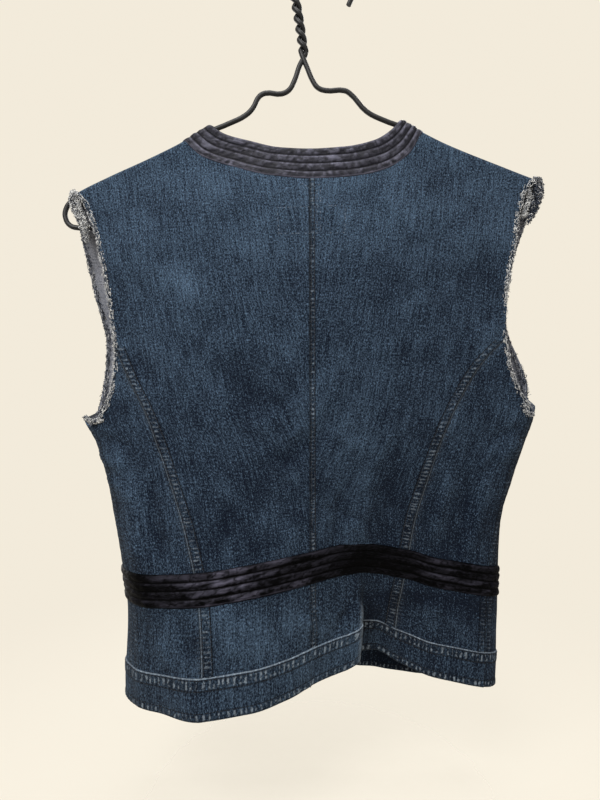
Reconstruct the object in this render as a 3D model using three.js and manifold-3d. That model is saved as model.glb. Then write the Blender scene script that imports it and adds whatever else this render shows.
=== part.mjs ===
// A sleeveless denim vest on a black wire hanger, in millimetres, +Z up.
// +X is the wearer's right, +Y the wearer's front, so the vest's back faces -Y.
// The origin is the hook's seat, the inner top of the hook, where a rail carries the hanger.
import * as THREE from 'three'
import Module from 'manifold-3d'
import { mergeVertices } from 'three/addons/utils/BufferGeometryUtils.js'

// Driving sizes
const DENIM = 1.6 // wall of one layer of denim
const SATIN = 2.4 // wall of the padded satin bands
const HEM = 2.6 // wall of the doubled hem band
const GAP = 0.3 // clearance between neighbouring pieces
const NECK_GAP = 0.8 // height between a panel and the slanting neck band, which leaves the same clearance
const SEAT = { x: 18, z: 380 } // the hook's seat, from the middle of the vest's back
const CENTRE = 8 // centre-back seam and centre front
const FOLD = 4 // radius of the cloth where it folds over the wire
const HEM_WIDTH = 30 // height of the hem band
const BELT_WIDTH = 26 // height of the waist band
const BELT_HEIGHT = -150 // middle of the waist band
const HEM_HEIGHT = -240 // lower edge of the vest
const CHANNELS = 4 // stitched channels along a satin band
const CHANNEL_RISE = 0.9 // how far a channel swells between two rows of stitches
const LEFT = -1
const RIGHT = 1
const BACK = -1
const FRONT = 1

// A smooth curve through the points of a short table, that never swings past them
function curve(table, from, to) {
  const x = table.map((row) => row[from])
  const y = table.map((row) => row[to])
  const last = x.length - 1
  const rise = x.slice(1).map((value, i) => (y[i + 1] - y[i]) / (value - x[i]))
  const slope = x.map((value, i) => {
    if (i === 0) return rise[0]
    if (i === last) return rise[last - 1]
    const [a, b] = [rise[i - 1], rise[i]]
    return a * b <= 0 ? 0 : (2 * a * b) / (a + b)
  })
  return (at) => {
    if (at <= x[0]) return y[0] + slope[0] * (at - x[0])
    if (at >= x[last]) return y[last] + slope[last] * (at - x[last])
    let i = 0
    while (at > x[i + 1]) i += 1
    const width = x[i + 1] - x[i]
    const t = (at - x[i]) / width
    const [tt, u] = [t * t, 1 - t]
    return (
      y[i] * (1 + 2 * t) * u * u + slope[i] * width * t * u * u +
      y[i + 1] * tt * (3 - 2 * t) - slope[i + 1] * width * tt * u
    )
  }
}

const ease = (t) => {
  const k = Math.min(Math.max(t, 0), 1)
  return k * k * (3 - 2 * k)
}

const mix = (a, b, t) => a + (b - a) * t

// The silhouette: how far the sides stand from the middle at each height, and how far in the
// roundness of the side reaches. Above the underarm it runs on, outside the armhole's edge.
const SIDES = [
  { z: -258, left: -149, right: 166, round: 26 },
  { z: -225, left: -149.5, right: 168.5, round: 28 },
  { z: -175, left: -147.5, right: 170, round: 30 },
  { z: -130, left: -153, right: 171, round: 28 },
  { z: -100, left: -158.5, right: 173, round: 26 },
  { z: -68, left: -165, right: 182, round: 24 },
  { z: -35, left: -176, right: 194, round: 22 },
  { z: -15, left: -187, right: 201, round: 20 },
  { z: 40, left: -200, right: 211, round: 20 },
  { z: 110, left: -212, right: 222, round: 22 },
  { z: 250, left: -232, right: 240, round: 24 },
]
const sideAt = {
  [LEFT]: curve(SIDES, 'z', 'left'),
  [RIGHT]: curve(SIDES, 'z', 'right'),
}
const roundAt = curve(SIDES, 'z', 'round')

// The line where the cloth lies over the hanger; it runs on as a virtual ridge over the neck.
const RIDGE = [
  { x: -203, z: 172 },
  { x: -191, z: 180 },
  { x: -165, z: 193 },
  { x: -130, z: 209 },
  { x: -102, z: 223 },
  { x: -79, z: 237 },
  { x: -45, z: 250 },
  { x: 5, z: 256 },
  { x: 55, z: 251 },
  { x: 88, z: 241.5 },
  { x: 107, z: 231 },
  { x: 126, z: 221.5 },
  { x: 174, z: 202 },
  { x: 197, z: 193 },
  { x: 213, z: 187 },
]
const ridge = curve(RIDGE, 'x', 'z')
const ridgeTop = (x) => ridge(x) + FOLD * (Math.PI / 2 - 1)

// How far the back stands out towards -Y, a row for each height and a column for each place
// across: the lower left swells, and a deep valley runs down right of the middle.
const ACROSS = [-150, -115, -76, -40, -10, 8, 25, 42, 56, 70, 92, 115, 140, 170]
const BACK_DEPTH = [
  { z: 215, out: [7, 7, 8, 9, 10, 10, 10, 9, 9, 8, 8, 7, 7, 7] },
  { z: 150, out: [10, 12, 14, 16, 16, 16, 16, 16, 16, 15, 14, 13, 12, 10] },
  { z: 60, out: [14, 20, 24, 26, 27, 27, 27, 26, 26, 25, 23, 20, 17, 14] },
  { z: -20, out: [22, 28, 31, 32, 31, 30, 30, 29, 28, 27, 25, 22, 20, 18] },
  { z: -85, out: [28, 36, 39, 38, 35, 33, 30, 27, 25, 23, 20, 18, 17, 18] },
  { z: -150, out: [31, 45, 50, 48, 42, 37, 31, 25, 21, 18, 15, 14, 15, 16] },
  { z: -200, out: [26, 44, 57, 56, 46, 36, 27, 20, 9, 5, 6, 9, 13, 16] },
  { z: -240, out: [22, 42, 63, 61, 47, 33, 23, 16, 2, -5, 1, 7, 12, 16] },
]
const backRows = BACK_DEPTH.map((row) =>
  curve(row.out.map((out, i) => ({ x: ACROSS[i], out })), 'x', 'out'),
)

function backDepth(x, z) {
  const rows = BACK_DEPTH.map((row, i) => ({ z: row.z, out: backRows[i](x) })).reverse()
  return curve(rows, 'z', 'out')(Math.min(Math.max(z, HEM_HEIGHT - 20), 240))
}

// How far the front stands out towards +Y
const FRONT_DEPTH = [
  { z: -258, out: 33 },
  { z: -150, out: 30 },
  { z: -60, out: 29 },
  { z: 30, out: 30 },
  { z: 110, out: 20 },
  { z: 180, out: 10 },
  { z: 250, out: 8 },
]
const frontDepth = curve(FRONT_DEPTH, 'z', 'out')

// How far the cloth is carried up or down across the waist band and the hem
const LIFT = [
  { x: -155, belt: -11, hem: -13 },
  { x: -120, belt: -6, hem: -8.5 },
  { x: -76, belt: 0, hem: -5 },
  { x: -40, belt: 7, hem: 0 },
  { x: -10, belt: 12, hem: 4 },
  { x: 8, belt: 15, hem: 8 },
  { x: 36, belt: 19, hem: 14 },
  { x: 50, belt: 19, hem: 18 },
  { x: 66, belt: 17, hem: 21 },
  { x: 80, belt: 14, hem: 15 },
  { x: 94, belt: 11, hem: 9 },
  { x: 112, belt: 5, hem: 3 },
  { x: 135, belt: 0, hem: 0 },
  { x: 172, belt: -8, hem: -6 },
]
const beltLift = curve(LIFT, 'x', 'belt')
const hemLift = curve(LIFT, 'x', 'hem')

// The front rides up less than the back, and hangs lower
const FRONT_LIFT = 0.35
const FRONT_DROP = 14

function lift(x, z, facing, share) {
  const started = ease((-30 - z) / 115)
  const lower = ease((BELT_HEIGHT - z) / (BELT_HEIGHT - HEM_HEIGHT))
  const back = mix(beltLift(x), hemLift(x), lower)
  return started * (facing === BACK ? back : mix(back, FRONT_LIFT * back - FRONT_DROP, share))
}

// The sharp fold low on the back, where the left part laps over the valley's edge
const PLEAT = { x: 52, top: -150, full: -205, reach: 9, over: 6 }

function pleatPull(x, z) {
  const near = (x - PLEAT.x) / PLEAT.reach
  return PLEAT.over * ease((PLEAT.top - z) / (PLEAT.top - PLEAT.full)) * -near * Math.exp(0.5 - near * near)
}

// Round the side, distances are counted along the cloth from the silhouette
function aroundFromX(side, x, z) {
  const r = roundAt(z)
  const inward = Math.max((sideAt[side](z) - x) * side, 0)
  return inward < r ? r * Math.acos(1 - inward / r) : inward + r * (Math.PI / 2 - 1)
}

function crossing(side, around, z) {
  const r = roundAt(z)
  const far = Math.abs(around)
  const quarter = (r * Math.PI) / 2
  const inward = far < quarter ? r * (1 - Math.cos(far / r)) : far - quarter + r
  return { x: sideAt[side](z) - side * inward, share: far < quarter ? Math.sin(far / r) : 1 }
}

// The right front laps over the left, and passes over the satin bands under it
const LAP = { left: 30, right: -13, over: 5.4, ease: 26 }

function lapOut(side, x) {
  return side === RIGHT ? LAP.over * ease((LAP.left + LAP.ease - x) / LAP.ease) : 0
}

// The middle of the cloth at a place: which half, which face, distance round and height
function cloth(side, face, around, z) {
  const facing = around < 0 ? -face : face
  const { x, share } = crossing(side, around, z)
  const below = ridgeTop(x) - z
  const quarter = (FOLD * Math.PI) / 2
  const folding = below < quarter
  const top = folding ? FOLD * Math.sin(Math.max(below, 0) / FOLD) : FOLD
  const drop = folding ? FOLD * (1 - Math.cos(below / FOLD)) : FOLD + below - quarter
  const full = facing === BACK ? backDepth(x, z) : frontDepth(z)
  const out = top + (full - FOLD) * ease((below - quarter) / 70)
  const lap = facing === FRONT ? lapOut(side, x) * ease(below / 30) : 0
  const pull = facing === BACK ? pleatPull(x, z) : 0
  return new THREE.Vector3(
    x + pull - SEAT.x,
    facing * (out * share + lap),
    ridge(x) - drop + lift(x, z, facing, share) - SEAT.z,
  )
}

// The outward normal of the cloth there
function outward(side, face, around, z) {
  const step = 0.4
  const along = cloth(side, face, around + step, z).sub(cloth(side, face, around - step, z))
  const up = cloth(side, face, around, z + step).sub(cloth(side, face, around, z - step))
  return along.cross(up).multiplyScalar(side * face).normalize()
}

const moved = (place, offset) =>
  cloth(...place).addScaledVector(outward(...place), offset)

// Builds one closed geometry from points and triangles, turned so that it faces outwards
function solid(points, triangles) {
  let volume = 0
  for (const [a, b, c] of triangles) {
    volume += points[a].dot(new THREE.Vector3().crossVectors(points[b], points[c]))
  }
  const faces = volume < 0 ? triangles.map(([a, b, c]) => [a, c, b]) : triangles
  const geometry = new THREE.BufferGeometry()
  const flat = new Float32Array(points.flatMap((p) => [p.x, p.y, p.z]))
  geometry.setAttribute('position', new THREE.BufferAttribute(flat, 3))
  geometry.setIndex(faces.flat())
  geometry.computeVertexNormals()
  return geometry
}

// A wall over a grid of places, with a column at each share across and a row at each share up
function wall(across, up, place, thickness) {
  const points = []
  const triangles = []
  const [columns, rows] = [across.length - 1, up.length - 1]
  const wide = columns + 1
  const layer = wide * (rows + 1)
  for (const offset of [thickness / 2, -thickness / 2]) {
    for (const t of up) {
      for (const share of across) points.push(moved(place(share, t), offset))
    }
  }
  const quad = (a, b, c, d) => triangles.push([a, b, c], [a, c, d])
  const at = (i, j) => j * wide + i
  for (let j = 0; j < rows; j += 1) {
    for (let i = 0; i < columns; i += 1) {
      const corners = [at(i, j), at(i + 1, j), at(i + 1, j + 1), at(i, j + 1)]
      quad(...corners)
      quad(...corners.map((k) => k + layer).reverse())
    }
  }
  const rim = []
  for (let i = 0; i < columns; i += 1) rim.push(at(i, 0))
  for (let j = 0; j < rows; j += 1) rim.push(at(columns, j))
  for (let i = columns; i > 0; i -= 1) rim.push(at(i, rows))
  for (let j = rows; j > 0; j -= 1) rim.push(at(0, j))
  rim.forEach((a, k) => {
    const b = rim[(k + 1) % rim.length]
    quad(b, a, a + layer, b + layer)
  })
  return solid(points, triangles)
}

// A band swept along stations: each is a row of places across it, and the section is a ring
function band(stations, section) {
  const points = []
  const triangles = []
  const sides = section.length
  stations.forEach((station) => {
    section.forEach(({ across, out }) => points.push(moved(station(across), out)))
  })
  for (let k = 0; k < stations.length - 1; k += 1) {
    for (let i = 0; i < sides; i += 1) {
      const [a, b] = [k * sides + i, k * sides + ((i + 1) % sides)]
      triangles.push([a, b, b + sides], [a, b + sides, a + sides])
    }
  }
  const outline = section.map(({ across, out }) => new THREE.Vector2(across * 30, out))
  const turned = THREE.ShapeUtils.isClockWise(outline)
  const end = (stations.length - 1) * sides
  for (const corners of THREE.ShapeUtils.triangulateShape(outline, [])) {
    const flipped = THREE.ShapeUtils.isClockWise(corners.map((k) => outline[k])) !== turned
    const [a, b, c] = flipped ? corners.reverse() : corners
    triangles.push([c, b, a], [a + end, b + end, c + end])
  }
  return solid(points, triangles)
}

// Stitched channels swell on the outer side, over a plain inner side
function channelled(inner, outer) {
  const section = []
  const perChannel = 2
  const steps = CHANNELS * perChannel
  for (let i = 0; i <= steps; i += 1) {
    const swell = i % perChannel ? CHANNEL_RISE : 0
    section.push({ across: i / steps, out: outer + swell - CHANNEL_RISE / 2 })
  }
  for (let i = 2; i >= 0; i -= 1) section.push({ across: i / 2, out: inner })
  return section
}

const plain = (inner, outer, steps) => {
  const section = []
  for (let i = 0; i <= steps; i += 1) section.push({ across: i / steps, out: outer })
  for (let i = steps; i >= 0; i -= 1) section.push({ across: i / steps, out: inner })
  return section
}

// Seams of the back and the edges of the armholes, as places across at each height
const SEAMS = {
  [LEFT]: {
    side: curve([
      { z: -260, x: -136 }, { z: -175, x: -137 }, { z: -130, x: -147 }, { z: -60, x: -162 },
      { z: -24, x: -178 },
    ], 'z', 'x'),
    princess: curve([
      { z: -260, x: -74 }, { z: -215, x: -75 }, { z: -160, x: -79 }, { z: -112, x: -90 },
      { z: -64, x: -106 }, { z: -36, x: -117 }, { z: -8, x: -129 }, { z: 20, x: -144.5 }, { z: 47, x: -157.5 },
    ], 'z', 'x'),
    armhole: curve([
      { z: -24, x: -178 }, { z: -13, x: -168 }, { z: 0, x: -161 }, { z: 17, x: -157.5 },
      { z: 34, x: -156.5 }, { z: 47, x: -157.5 }, { z: 86, x: -163 }, { z: 112, x: -168 },
      { z: 138, x: -174 }, { z: 156, x: -180 }, { z: 169, x: -186 }, { z: ridgeTop(-195), x: -195 },
    ], 'z', 'x'),
    frontArmhole: curve([
      { z: -24, x: -184 }, { z: -8, x: -182.5 }, { z: 6, x: -181 }, { z: 20, x: -179.5 }, { z: 37, x: -178 },
      { z: 55, x: -177.5 }, { z: 71, x: -180.5 }, { z: 106, x: -188 }, { z: 132, x: -191.5 },
      { z: 152, x: -193.8 }, { z: ridgeTop(-195), x: -195 },
    ], 'z', 'x'),
    shoulder: -195,
    neckEnd: -102.8,
  },
  [RIGHT]: {
    side: curve([
      { z: -260, x: 156 }, { z: -175, x: 158 }, { z: -125, x: 165 }, { z: -60, x: 180 },
      { z: -12, x: 198.5 },
    ], 'z', 'x'),
    princess: curve([
      { z: -260, x: 80 }, { z: -200, x: 83 }, { z: -150, x: 90 }, { z: -110, x: 96 },
      { z: -70, x: 106 }, { z: -30, x: 119 }, { z: 5, x: 136 }, { z: 32, x: 153.5 }, { z: 52, x: 173.8 },
    ], 'z', 'x'),
    armhole: curve([
      { z: -12, x: 198.5 }, { z: -4, x: 193 }, { z: 6, x: 186 }, { z: 22, x: 179.5 },
      { z: 43, x: 175 }, { z: 60, x: 173 }, { z: 86, x: 175 }, { z: 120, x: 181 },
      { z: 146, x: 185.5 }, { z: 170, x: 190.5 }, { z: 183, x: 196.5 }, { z: ridgeTop(205), x: 205 },
    ], 'z', 'x'),
    frontArmhole: curve([
      { z: -12, x: 200.5 }, { z: 2, x: 202.5 }, { z: 14, x: 203.5 }, { z: 30, x: 201.5 }, { z: 44, x: 197.5 },
      { z: 60, x: 190.5 }, { z: 78, x: 187 }, { z: 110, x: 189 }, { z: 145, x: 196 }, { z: 165, x: 201.5 },
      { z: 178, x: 203.8 }, { z: ridgeTop(205), x: 205 },
    ], 'z', 'x'),
    shoulder: 205,
    neckEnd: 107.8,
  },
}
const UNDERARM = { [LEFT]: -24, [RIGHT]: -12 }
const PRINCESS_TOP = { [LEFT]: 47, [RIGHT]: 52 }

// The neck: its edge and the satin band's outer edge, behind as tables, in front as ellipses
const NECK_BACK = [
  { share: 0, inner: [-79, 239.3], outer: [-102, 225.3] },
  { share: 0.1, inner: [-65, 229.5], outer: [-86, 210] },
  { share: 0.22, inner: [-43, 223], outer: [-60, 199.5] },
  { share: 0.36, inner: [-17, 216.8], outer: [-28, 190.5] },
  { share: 0.5, inner: [8, 215.5], outer: [8, 187] },
  { share: 0.66, inner: [40, 218], outer: [46, 189.5] },
  { share: 0.8, inner: [64, 224], outer: [75, 197.5] },
  { share: 0.91, inner: [78, 232.5], outer: [94, 211.5] },
  { share: 1, inner: [88, 243.8], outer: [107, 233.3] },
]
const neckBack = Object.fromEntries(['inner', 'outer'].map((edge) => {
  const rows = NECK_BACK.map((row) => ({ share: row.share, x: row[edge][0], z: row[edge][1] }))
  const [x, z] = [curve(rows, 'share', 'x'), curve(rows, 'share', 'z')]
  return [edge, (share) => ({ x: x(share), z: z(share) })]
}))
const FRONT_NECK_DROP = 84

function neckFront(side, edge, angle) {
  const start = neckBack[edge](side === LEFT ? 0 : 1)
  const low = edge === 'inner' ? 242 - FRONT_NECK_DROP : 242 - FRONT_NECK_DROP - 30
  return {
    x: CENTRE + (start.x - CENTRE) * Math.cos(angle),
    z: start.z + (low - start.z) * Math.sin(angle),
  }
}

const place = (side, face, x, z) => [side, face, aroundFromX(side, x, z), z]

const steps = (count, from = 0, to = 1) =>
  Array.from({ length: count + 1 }, (unused, i) => mix(from, to, i / count))

const HEM_TOP = HEM_HEIGHT + HEM_WIDTH

// A distance round and a height, which is what a panel's edges are given in
const spot = (side, x, z, shift = 0) => [aroundFromX(side, x, z) + shift, z]

// Columns of a panel: shares across, where it meets the shoulder's ridge and then the neck
const BACK_COLUMNS = [0, 0.07, 0.15, 0.23, 0.31, 0.4, 0.41, 0.425, 0.45, 0.5, 0.56, 0.64, 0.72, 0.79, 0.86, 0.93, 1]
const PLEAT_COLUMNS = [0, 0.07, 0.15, 0.23, 0.31, 0.38, 0.4, 0.415, 0.44, 0.48, 0.54, 0.62, 0.71, 0.8, 0.9, 1]
const FRONT_COLUMNS = [0, 0.05, 0.1, 0.15, 0.22, 0.31, 0.4, 0.41, 0.43, 0.48, 0.55, 0.64, 0.73, 0.82, 0.91, 1]
const SIDE_COLUMNS = steps(6)
const RIDGE_SHARE = 0.4
const columnsOf = { [LEFT]: BACK_COLUMNS, [RIGHT]: PLEAT_COLUMNS }

// Rows of a panel: level steps up to the underarm's corner, then to the fold over the wire
function rowsTo(corner, low, high, below, above) {
  const share = (z) => (z - low) / (high - low)
  const fold = FOLD * 1.6
  return [
    ...steps(below, 0, share(corner)),
    ...steps(above, share(corner), share(high - fold)).slice(1),
    ...steps(4, share(high - fold), 1).slice(1),
  ]
}

// A panel's surface between its two side edges and its lower and upper edges
function patch({ rim, inner, bottom, top }) {
  const corners = [bottom(0), bottom(1), top(0), top(1)]
  return (s, t) => {
    const a = rim.line(mix(rim.low, rim.high, t))
    const b = inner.line(mix(inner.low, inner.high, t))
    const [c, d] = [bottom(s), top(s)]
    const coons = (k) =>
      mix(a[k], b[k], s) + mix(c[k], d[k], t) -
      mix(mix(corners[0][k], corners[1][k], s), mix(corners[2][k], corners[3][k], s), t)
    return [coons(0), coons(1)]
  }
}

function backCentre(side) {
  const seams = SEAMS[side]
  const [low, corner] = [HEM_TOP + GAP, PRINCESS_TOP[side]]
  const high = ridgeTop(seams.shoulder) - GAP
  const shift = (z) => (z < corner ? GAP / 2 : 0)
  const rimLine = (z) => spot(side, (z < corner ? seams.princess : seams.armhole)(z), z, shift(z))
  const top = (s) => {
    if (s <= RIDGE_SHARE) {
      const x = mix(seams.shoulder, seams.neckEnd, s / RIDGE_SHARE)
      return spot(side, x, ridgeTop(x) - GAP)
    }
    const half = (0.5 * (s - RIDGE_SHARE)) / (1 - RIDGE_SHARE)
    const { x, z } = neckBack.outer(side === LEFT ? half : 1 - half)
    const aside = side * 2 * NECK_GAP * (0.5 - half)
    return spot(side, x + aside, Math.min(z, ridgeTop(x)) - NECK_GAP, s === 1 ? -GAP / 2 : 0)
  }
  const surface = patch({
    rim: { low, high, line: rimLine },
    inner: { low, high: top(1)[1], line: (z) => spot(side, CENTRE, z, -GAP / 2) },
    bottom: (s) => [mix(rimLine(low)[0], spot(side, CENTRE, low, -GAP / 2)[0], s), low],
    top,
  })
  return { side, face: BACK, surface, columns: columnsOf[side], rows: rowsTo(corner, low, high, 17, 8) }
}

function backSide(side) {
  const seams = SEAMS[side]
  const low = HEM_TOP + GAP
  const [under, high] = [UNDERARM[side], PRINCESS_TOP[side]]
  const rimLine = (z) => spot(side, seams.side(z), z, GAP / 2)
  const innerLine = (z) => spot(side, seams.princess(z), z, -GAP / 2)
  const surface = patch({
    rim: { low, high: under, line: rimLine },
    inner: { low, high, line: innerLine },
    bottom: (s) => [mix(rimLine(low)[0], innerLine(low)[0], s), low],
    top: (s) => {
      const z = mix(under, high, s ** 1.6)
      return spot(side, seams.armhole(z), z, mix(GAP / 2, -GAP / 2, s))
    },
  })
  return { side, face: BACK, surface, columns: SIDE_COLUMNS, rows: steps(17) }
}

function front(side) {
  const seams = SEAMS[side]
  const low = HEM_TOP + GAP
  const under = UNDERARM[side]
  const high = ridgeTop(seams.shoulder) - GAP
  const end = side === LEFT ? LAP.left : LAP.right
  const backSeam = (z) => GAP / 2 - spot(side, seams.side(z), z)[0]
  const rimLine = (z) => {
    const armhole = spot(side, seams.frontArmhole(z), z)[0]
    return [z < under ? backSeam(z) : mix(backSeam(under), armhole, ease((z - under) / 14)), z]
  }
  const top = (s) => {
    if (s <= RIDGE_SHARE) {
      const x = mix(seams.shoulder, seams.neckEnd, s / RIDGE_SHARE)
      return spot(side, x, ridgeTop(x) - GAP)
    }
    const angle = frontAngle(side, (s - RIDGE_SHARE) / (1 - RIDGE_SHARE))
    const edge = neckFront(side, 'outer', angle)
    const x = edge.x + side * NECK_GAP * Math.cos(angle)
    return spot(side, x, Math.min(edge.z, ridgeTop(edge.x)) - mix(GAP, NECK_GAP, Math.sin(angle)))
  }
  const surface = patch({
    rim: { low, high, line: rimLine },
    inner: { low, high: top(1)[1], line: (z) => spot(side, end, z) },
    bottom: (s) => [mix(rimLine(low)[0], spot(side, end, low)[0], s), low],
    top,
  })
  return { side, face: FRONT, surface, columns: FRONT_COLUMNS, rows: rowsTo(under, low, high, 17, 11) }
}

// The angle round the front neck that ends at the front's edge
function frontAngle(side, share) {
  const end = side === LEFT ? LAP.left : LAP.right
  return share * Math.acos((CENTRE - end) / (CENTRE - neckFront(side, 'outer', 0).x))
}

const sewn = ({ side, face, surface, columns, rows }) =>
  wall(columns, rows, (s, t) => [side, face, ...surface(s, t)], DENIM)

const PANELS = {
  back_centre_left: backCentre(LEFT),
  back_centre_right: backCentre(RIGHT),
  back_side_left: backSide(LEFT),
  back_side_right: backSide(RIGHT),
  front_left: front(LEFT),
  front_right: front(RIGHT),
}

// The place on a panel's column at a height
function columnAt({ side, face, surface }, s, z) {
  let [low, high] = [0, 1]
  for (let i = 0; i < 30; i += 1) {
    const t = (low + high) / 2
    if (surface(s, t)[1] < z) low = t
    else high = t
  }
  return [side, face, surface(s, low)[0], z]
}

// Satin neck band
const bandIn = -DENIM / 2
const bandOut = bandIn + SATIN
function neckStation(face, side, inner, outer, end) {
  return (across) => {
    const [x, z] = [mix(inner.x, outer.x, across), mix(inner.z, outer.z, across)]
    return place(side, face, x, Math.min(z, ridgeTop(x) - end))
  }
}

function neckBandBack() {
  const shares = (columns) => columns.filter((s) => s >= RIDGE_SHARE)
    .map((s) => (0.5 * (s - RIDGE_SHARE)) / (1 - RIDGE_SHARE))
  const all = [...shares(BACK_COLUMNS), ...shares(PLEAT_COLUMNS).map((share) => 1 - share).reverse().slice(1)]
  const stations = all.map((share) => {
    const [inner, outer] = [neckBack.inner(share), neckBack.outer(share)]
    return neckStation(BACK, share < 0.5 ? LEFT : RIGHT, inner, outer, GAP / 2)
  })
  return band(stations, channelled(bandIn, bandOut))
}

function neckBandFront(side) {
  const stations = FRONT_COLUMNS.filter((s) => s >= RIDGE_SHARE).map((s) => {
    const angle = frontAngle(side, (s - RIDGE_SHARE) / (1 - RIDGE_SHARE))
    return neckStation(FRONT, side, neckFront(side, 'inner', angle), neckFront(side, 'outer', angle), GAP / 2)
  })
  return band(stations, channelled(bandIn, bandOut))
}

// A level run of columns, over one panel after another, from the left front's edge round the
// back to the right front's edge
const RUN = [
  ['front_left', true],
  ['back_side_left', false],
  ['back_centre_left', false],
  ['back_centre_right', true],
  ['back_side_right', true],
  ['front_right', false],
]

const BACK_PANELS = RUN.map(([name]) => name).filter((name) => name.startsWith('back'))

function run(names, station) {
  return RUN.filter(([name]) => names.includes(name)).flatMap(([name, backwards], k) => {
    const panel = PANELS[name]
    const columns = backwards ? [...panel.columns].reverse() : panel.columns
    return columns.slice(k ? 1 : 0).map((s) => station(panel, s))
  })
}

function waistBand() {
  const [low, high] = [BELT_HEIGHT - BELT_WIDTH / 2, BELT_HEIGHT + BELT_WIDTH / 2]
  const under = DENIM / 2 + GAP + 0.1
  const stations = run(Object.keys(PANELS), (panel, s) => (across) => columnAt(panel, s, mix(high, low, across)))
  return band(stations, channelled(under, under + SATIN - 0.6))
}

function hemBand(names) {
  const stations = run(names, ({ side, face, surface }, s) => (across) => {
    const z = mix(HEM_TOP, HEM_HEIGHT, across)
    const foot = surface(s, 0)[0]
    const drift = foot - surface(s, 0.02)[0]
    return [side, face, foot + drift * across, z]
  })
  return band(stations, plain(-HEM / 2, HEM / 2, 3))
}

// Frayed armholes: a narrow strip just off the cloth's edge, with loose threads rooted in it
const FRAY = { off: 0.9, strip: 1.2, wall: 1, threads: 60, long: 4.8, short: 2.6, thick: 0.9, lean: 0.55 }

const wasm = await Module()
wasm.setup()

function manifold(geometry) {
  const bare = geometry.clone()
  bare.deleteAttribute('normal')
  const merged = mergeVertices(bare, 1e-4)
  return new wasm.Manifold(new wasm.Mesh({
    numProp: 3,
    vertProperties: new Float32Array(merged.attributes.position.array),
    triVerts: new Uint32Array(merged.index.array),
  }))
}

function fromManifold(body) {
  const { vertProperties, triVerts } = body.getMesh()
  const geometry = new THREE.BufferGeometry()
  geometry.setAttribute('position', new THREE.BufferAttribute(new Float32Array(vertProperties), 3))
  geometry.setIndex(Array.from(triVerts))
  geometry.computeVertexNormals()
  return geometry
}

// A place on the armhole's edge, moved off it by a distance: share runs up the back, over the
// shoulder and down the front
function armholeSpot(side, share, off) {
  const seams = SEAMS[side]
  const back = share < 0.5
  const high = ridgeTop(seams.shoulder)
  const low = UNDERARM[side] + 3
  const z = back ? mix(low, high, share / 0.5) : mix(high, low, (share - 0.5) / 0.5)
  const line = back ? seams.armhole : seams.frontArmhole
  const slope = (line(z + 1) - line(z - 1)) / 2
  const size = Math.hypot(1, slope)
  const x = line(z) + (side * off) / size
  const height = Math.min(z - (side * off * slope) / size, ridgeTop(x) - 0.02)
  return place(side, back ? BACK : FRONT, x, height)
}

// Deterministic variation from 0 to 1
const vary = (seed) => {
  const value = Math.sin(seed * 12.9898) * 43758.5453
  return value - Math.floor(value)
}

function fringe(side) {
  const span = [0.012, 0.49]
  const rise = [...steps(23, span[0], 0.468), 0.476, 0.483, 0.489, 0.495]
  const shares = [...rise, 0.5, ...rise.map((share) => 1 - share).reverse()]
  const stations = shares.map((share) => (across) =>
    armholeSpot(side, share, FRAY.off + FRAY.strip * across))
  let body = manifold(band(stations, plain(-FRAY.wall / 2, FRAY.wall / 2, 1)))
  for (let i = 0; i < FRAY.threads; i += 1) {
    const along = mix(span[0] + 0.004, span[1] - 0.02, (i % (FRAY.threads / 2)) / (FRAY.threads / 2 - 1))
    const share = i < FRAY.threads / 2 ? along : 1 - along
    const reach = mix(FRAY.short, FRAY.long, vary(i + 10 * side))
    const root = cloth(...armholeSpot(side, share, FRAY.off + 0.5 * FRAY.strip))
    const tip = cloth(...armholeSpot(side, share + FRAY.lean * 0.02 * (vary(i + 40) - 0.5), FRAY.off + reach))
    tip.y += mix(-1, 1, vary(i + 80)) * 1.2
    body = body.add(manifold(thread(root, tip, FRAY.thick)))
  }
  return fromManifold(body)
}

// A loose thread: three sides, tapering to its tip
function thread(root, tip, thick) {
  const axis = tip.clone().sub(root)
  const one = new THREE.Vector3(0, 0, 1).cross(axis).normalize()
  const two = axis.clone().cross(one).normalize()
  const ring = [0, 1, 2].map((k) => {
    const angle = (k * 2 * Math.PI) / 3
    return root.clone()
      .addScaledVector(one, (thick / 2) * Math.cos(angle))
      .addScaledVector(two, (thick / 2) * Math.sin(angle))
  })
  return solid([...ring, tip], [[0, 2, 1], [0, 1, 3], [1, 2, 3], [2, 0, 3]])
}

// Tack buttons down the centre front: a domed head on a collar
const BUTTON = { radius: 8.5, collar: 5, height: 3.4, count: 5, top: 112, bottom: -190 }

function button(index) {
  const z = mix(BUTTON.top, BUTTON.bottom, index / (BUTTON.count - 1))
  const here = place(RIGHT, FRONT, CENTRE, z)
  const profile = [
    [0, 0], [BUTTON.collar, 0], [BUTTON.collar, 1.2], [BUTTON.radius, 1.5], [BUTTON.radius, 2.4],
    [BUTTON.radius * 0.72, 3.1], [0, BUTTON.height],
  ].map(([x, y]) => new THREE.Vector2(x, y))
  const mesh = new THREE.LatheGeometry(profile, 12)
  const normal = outward(...here)
  const turn = new THREE.Quaternion().setFromUnitVectors(new THREE.Vector3(0, 1, 0), normal)
  const position = moved(here, DENIM / 2 + GAP + 0.15)
  return { geometry: mesh, turn, position }
}

// The hanger: one coated wire, hooked at the top, twisted at the neck, shaped over the shoulders
const WIRE = { radius: 2.2, sides: 7, below: DENIM / 2 + GAP + 2.2 + 0.9 }
const HOOK = { x: SEAT.x, radius: 25 + WIRE.radius, tip: 12 }
const TWIST = { top: { x: -9, z: 350 }, bottom: { x: 3, z: 292 }, radius: WIRE.radius + GAP / 2, turns: 2.5 }

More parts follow.
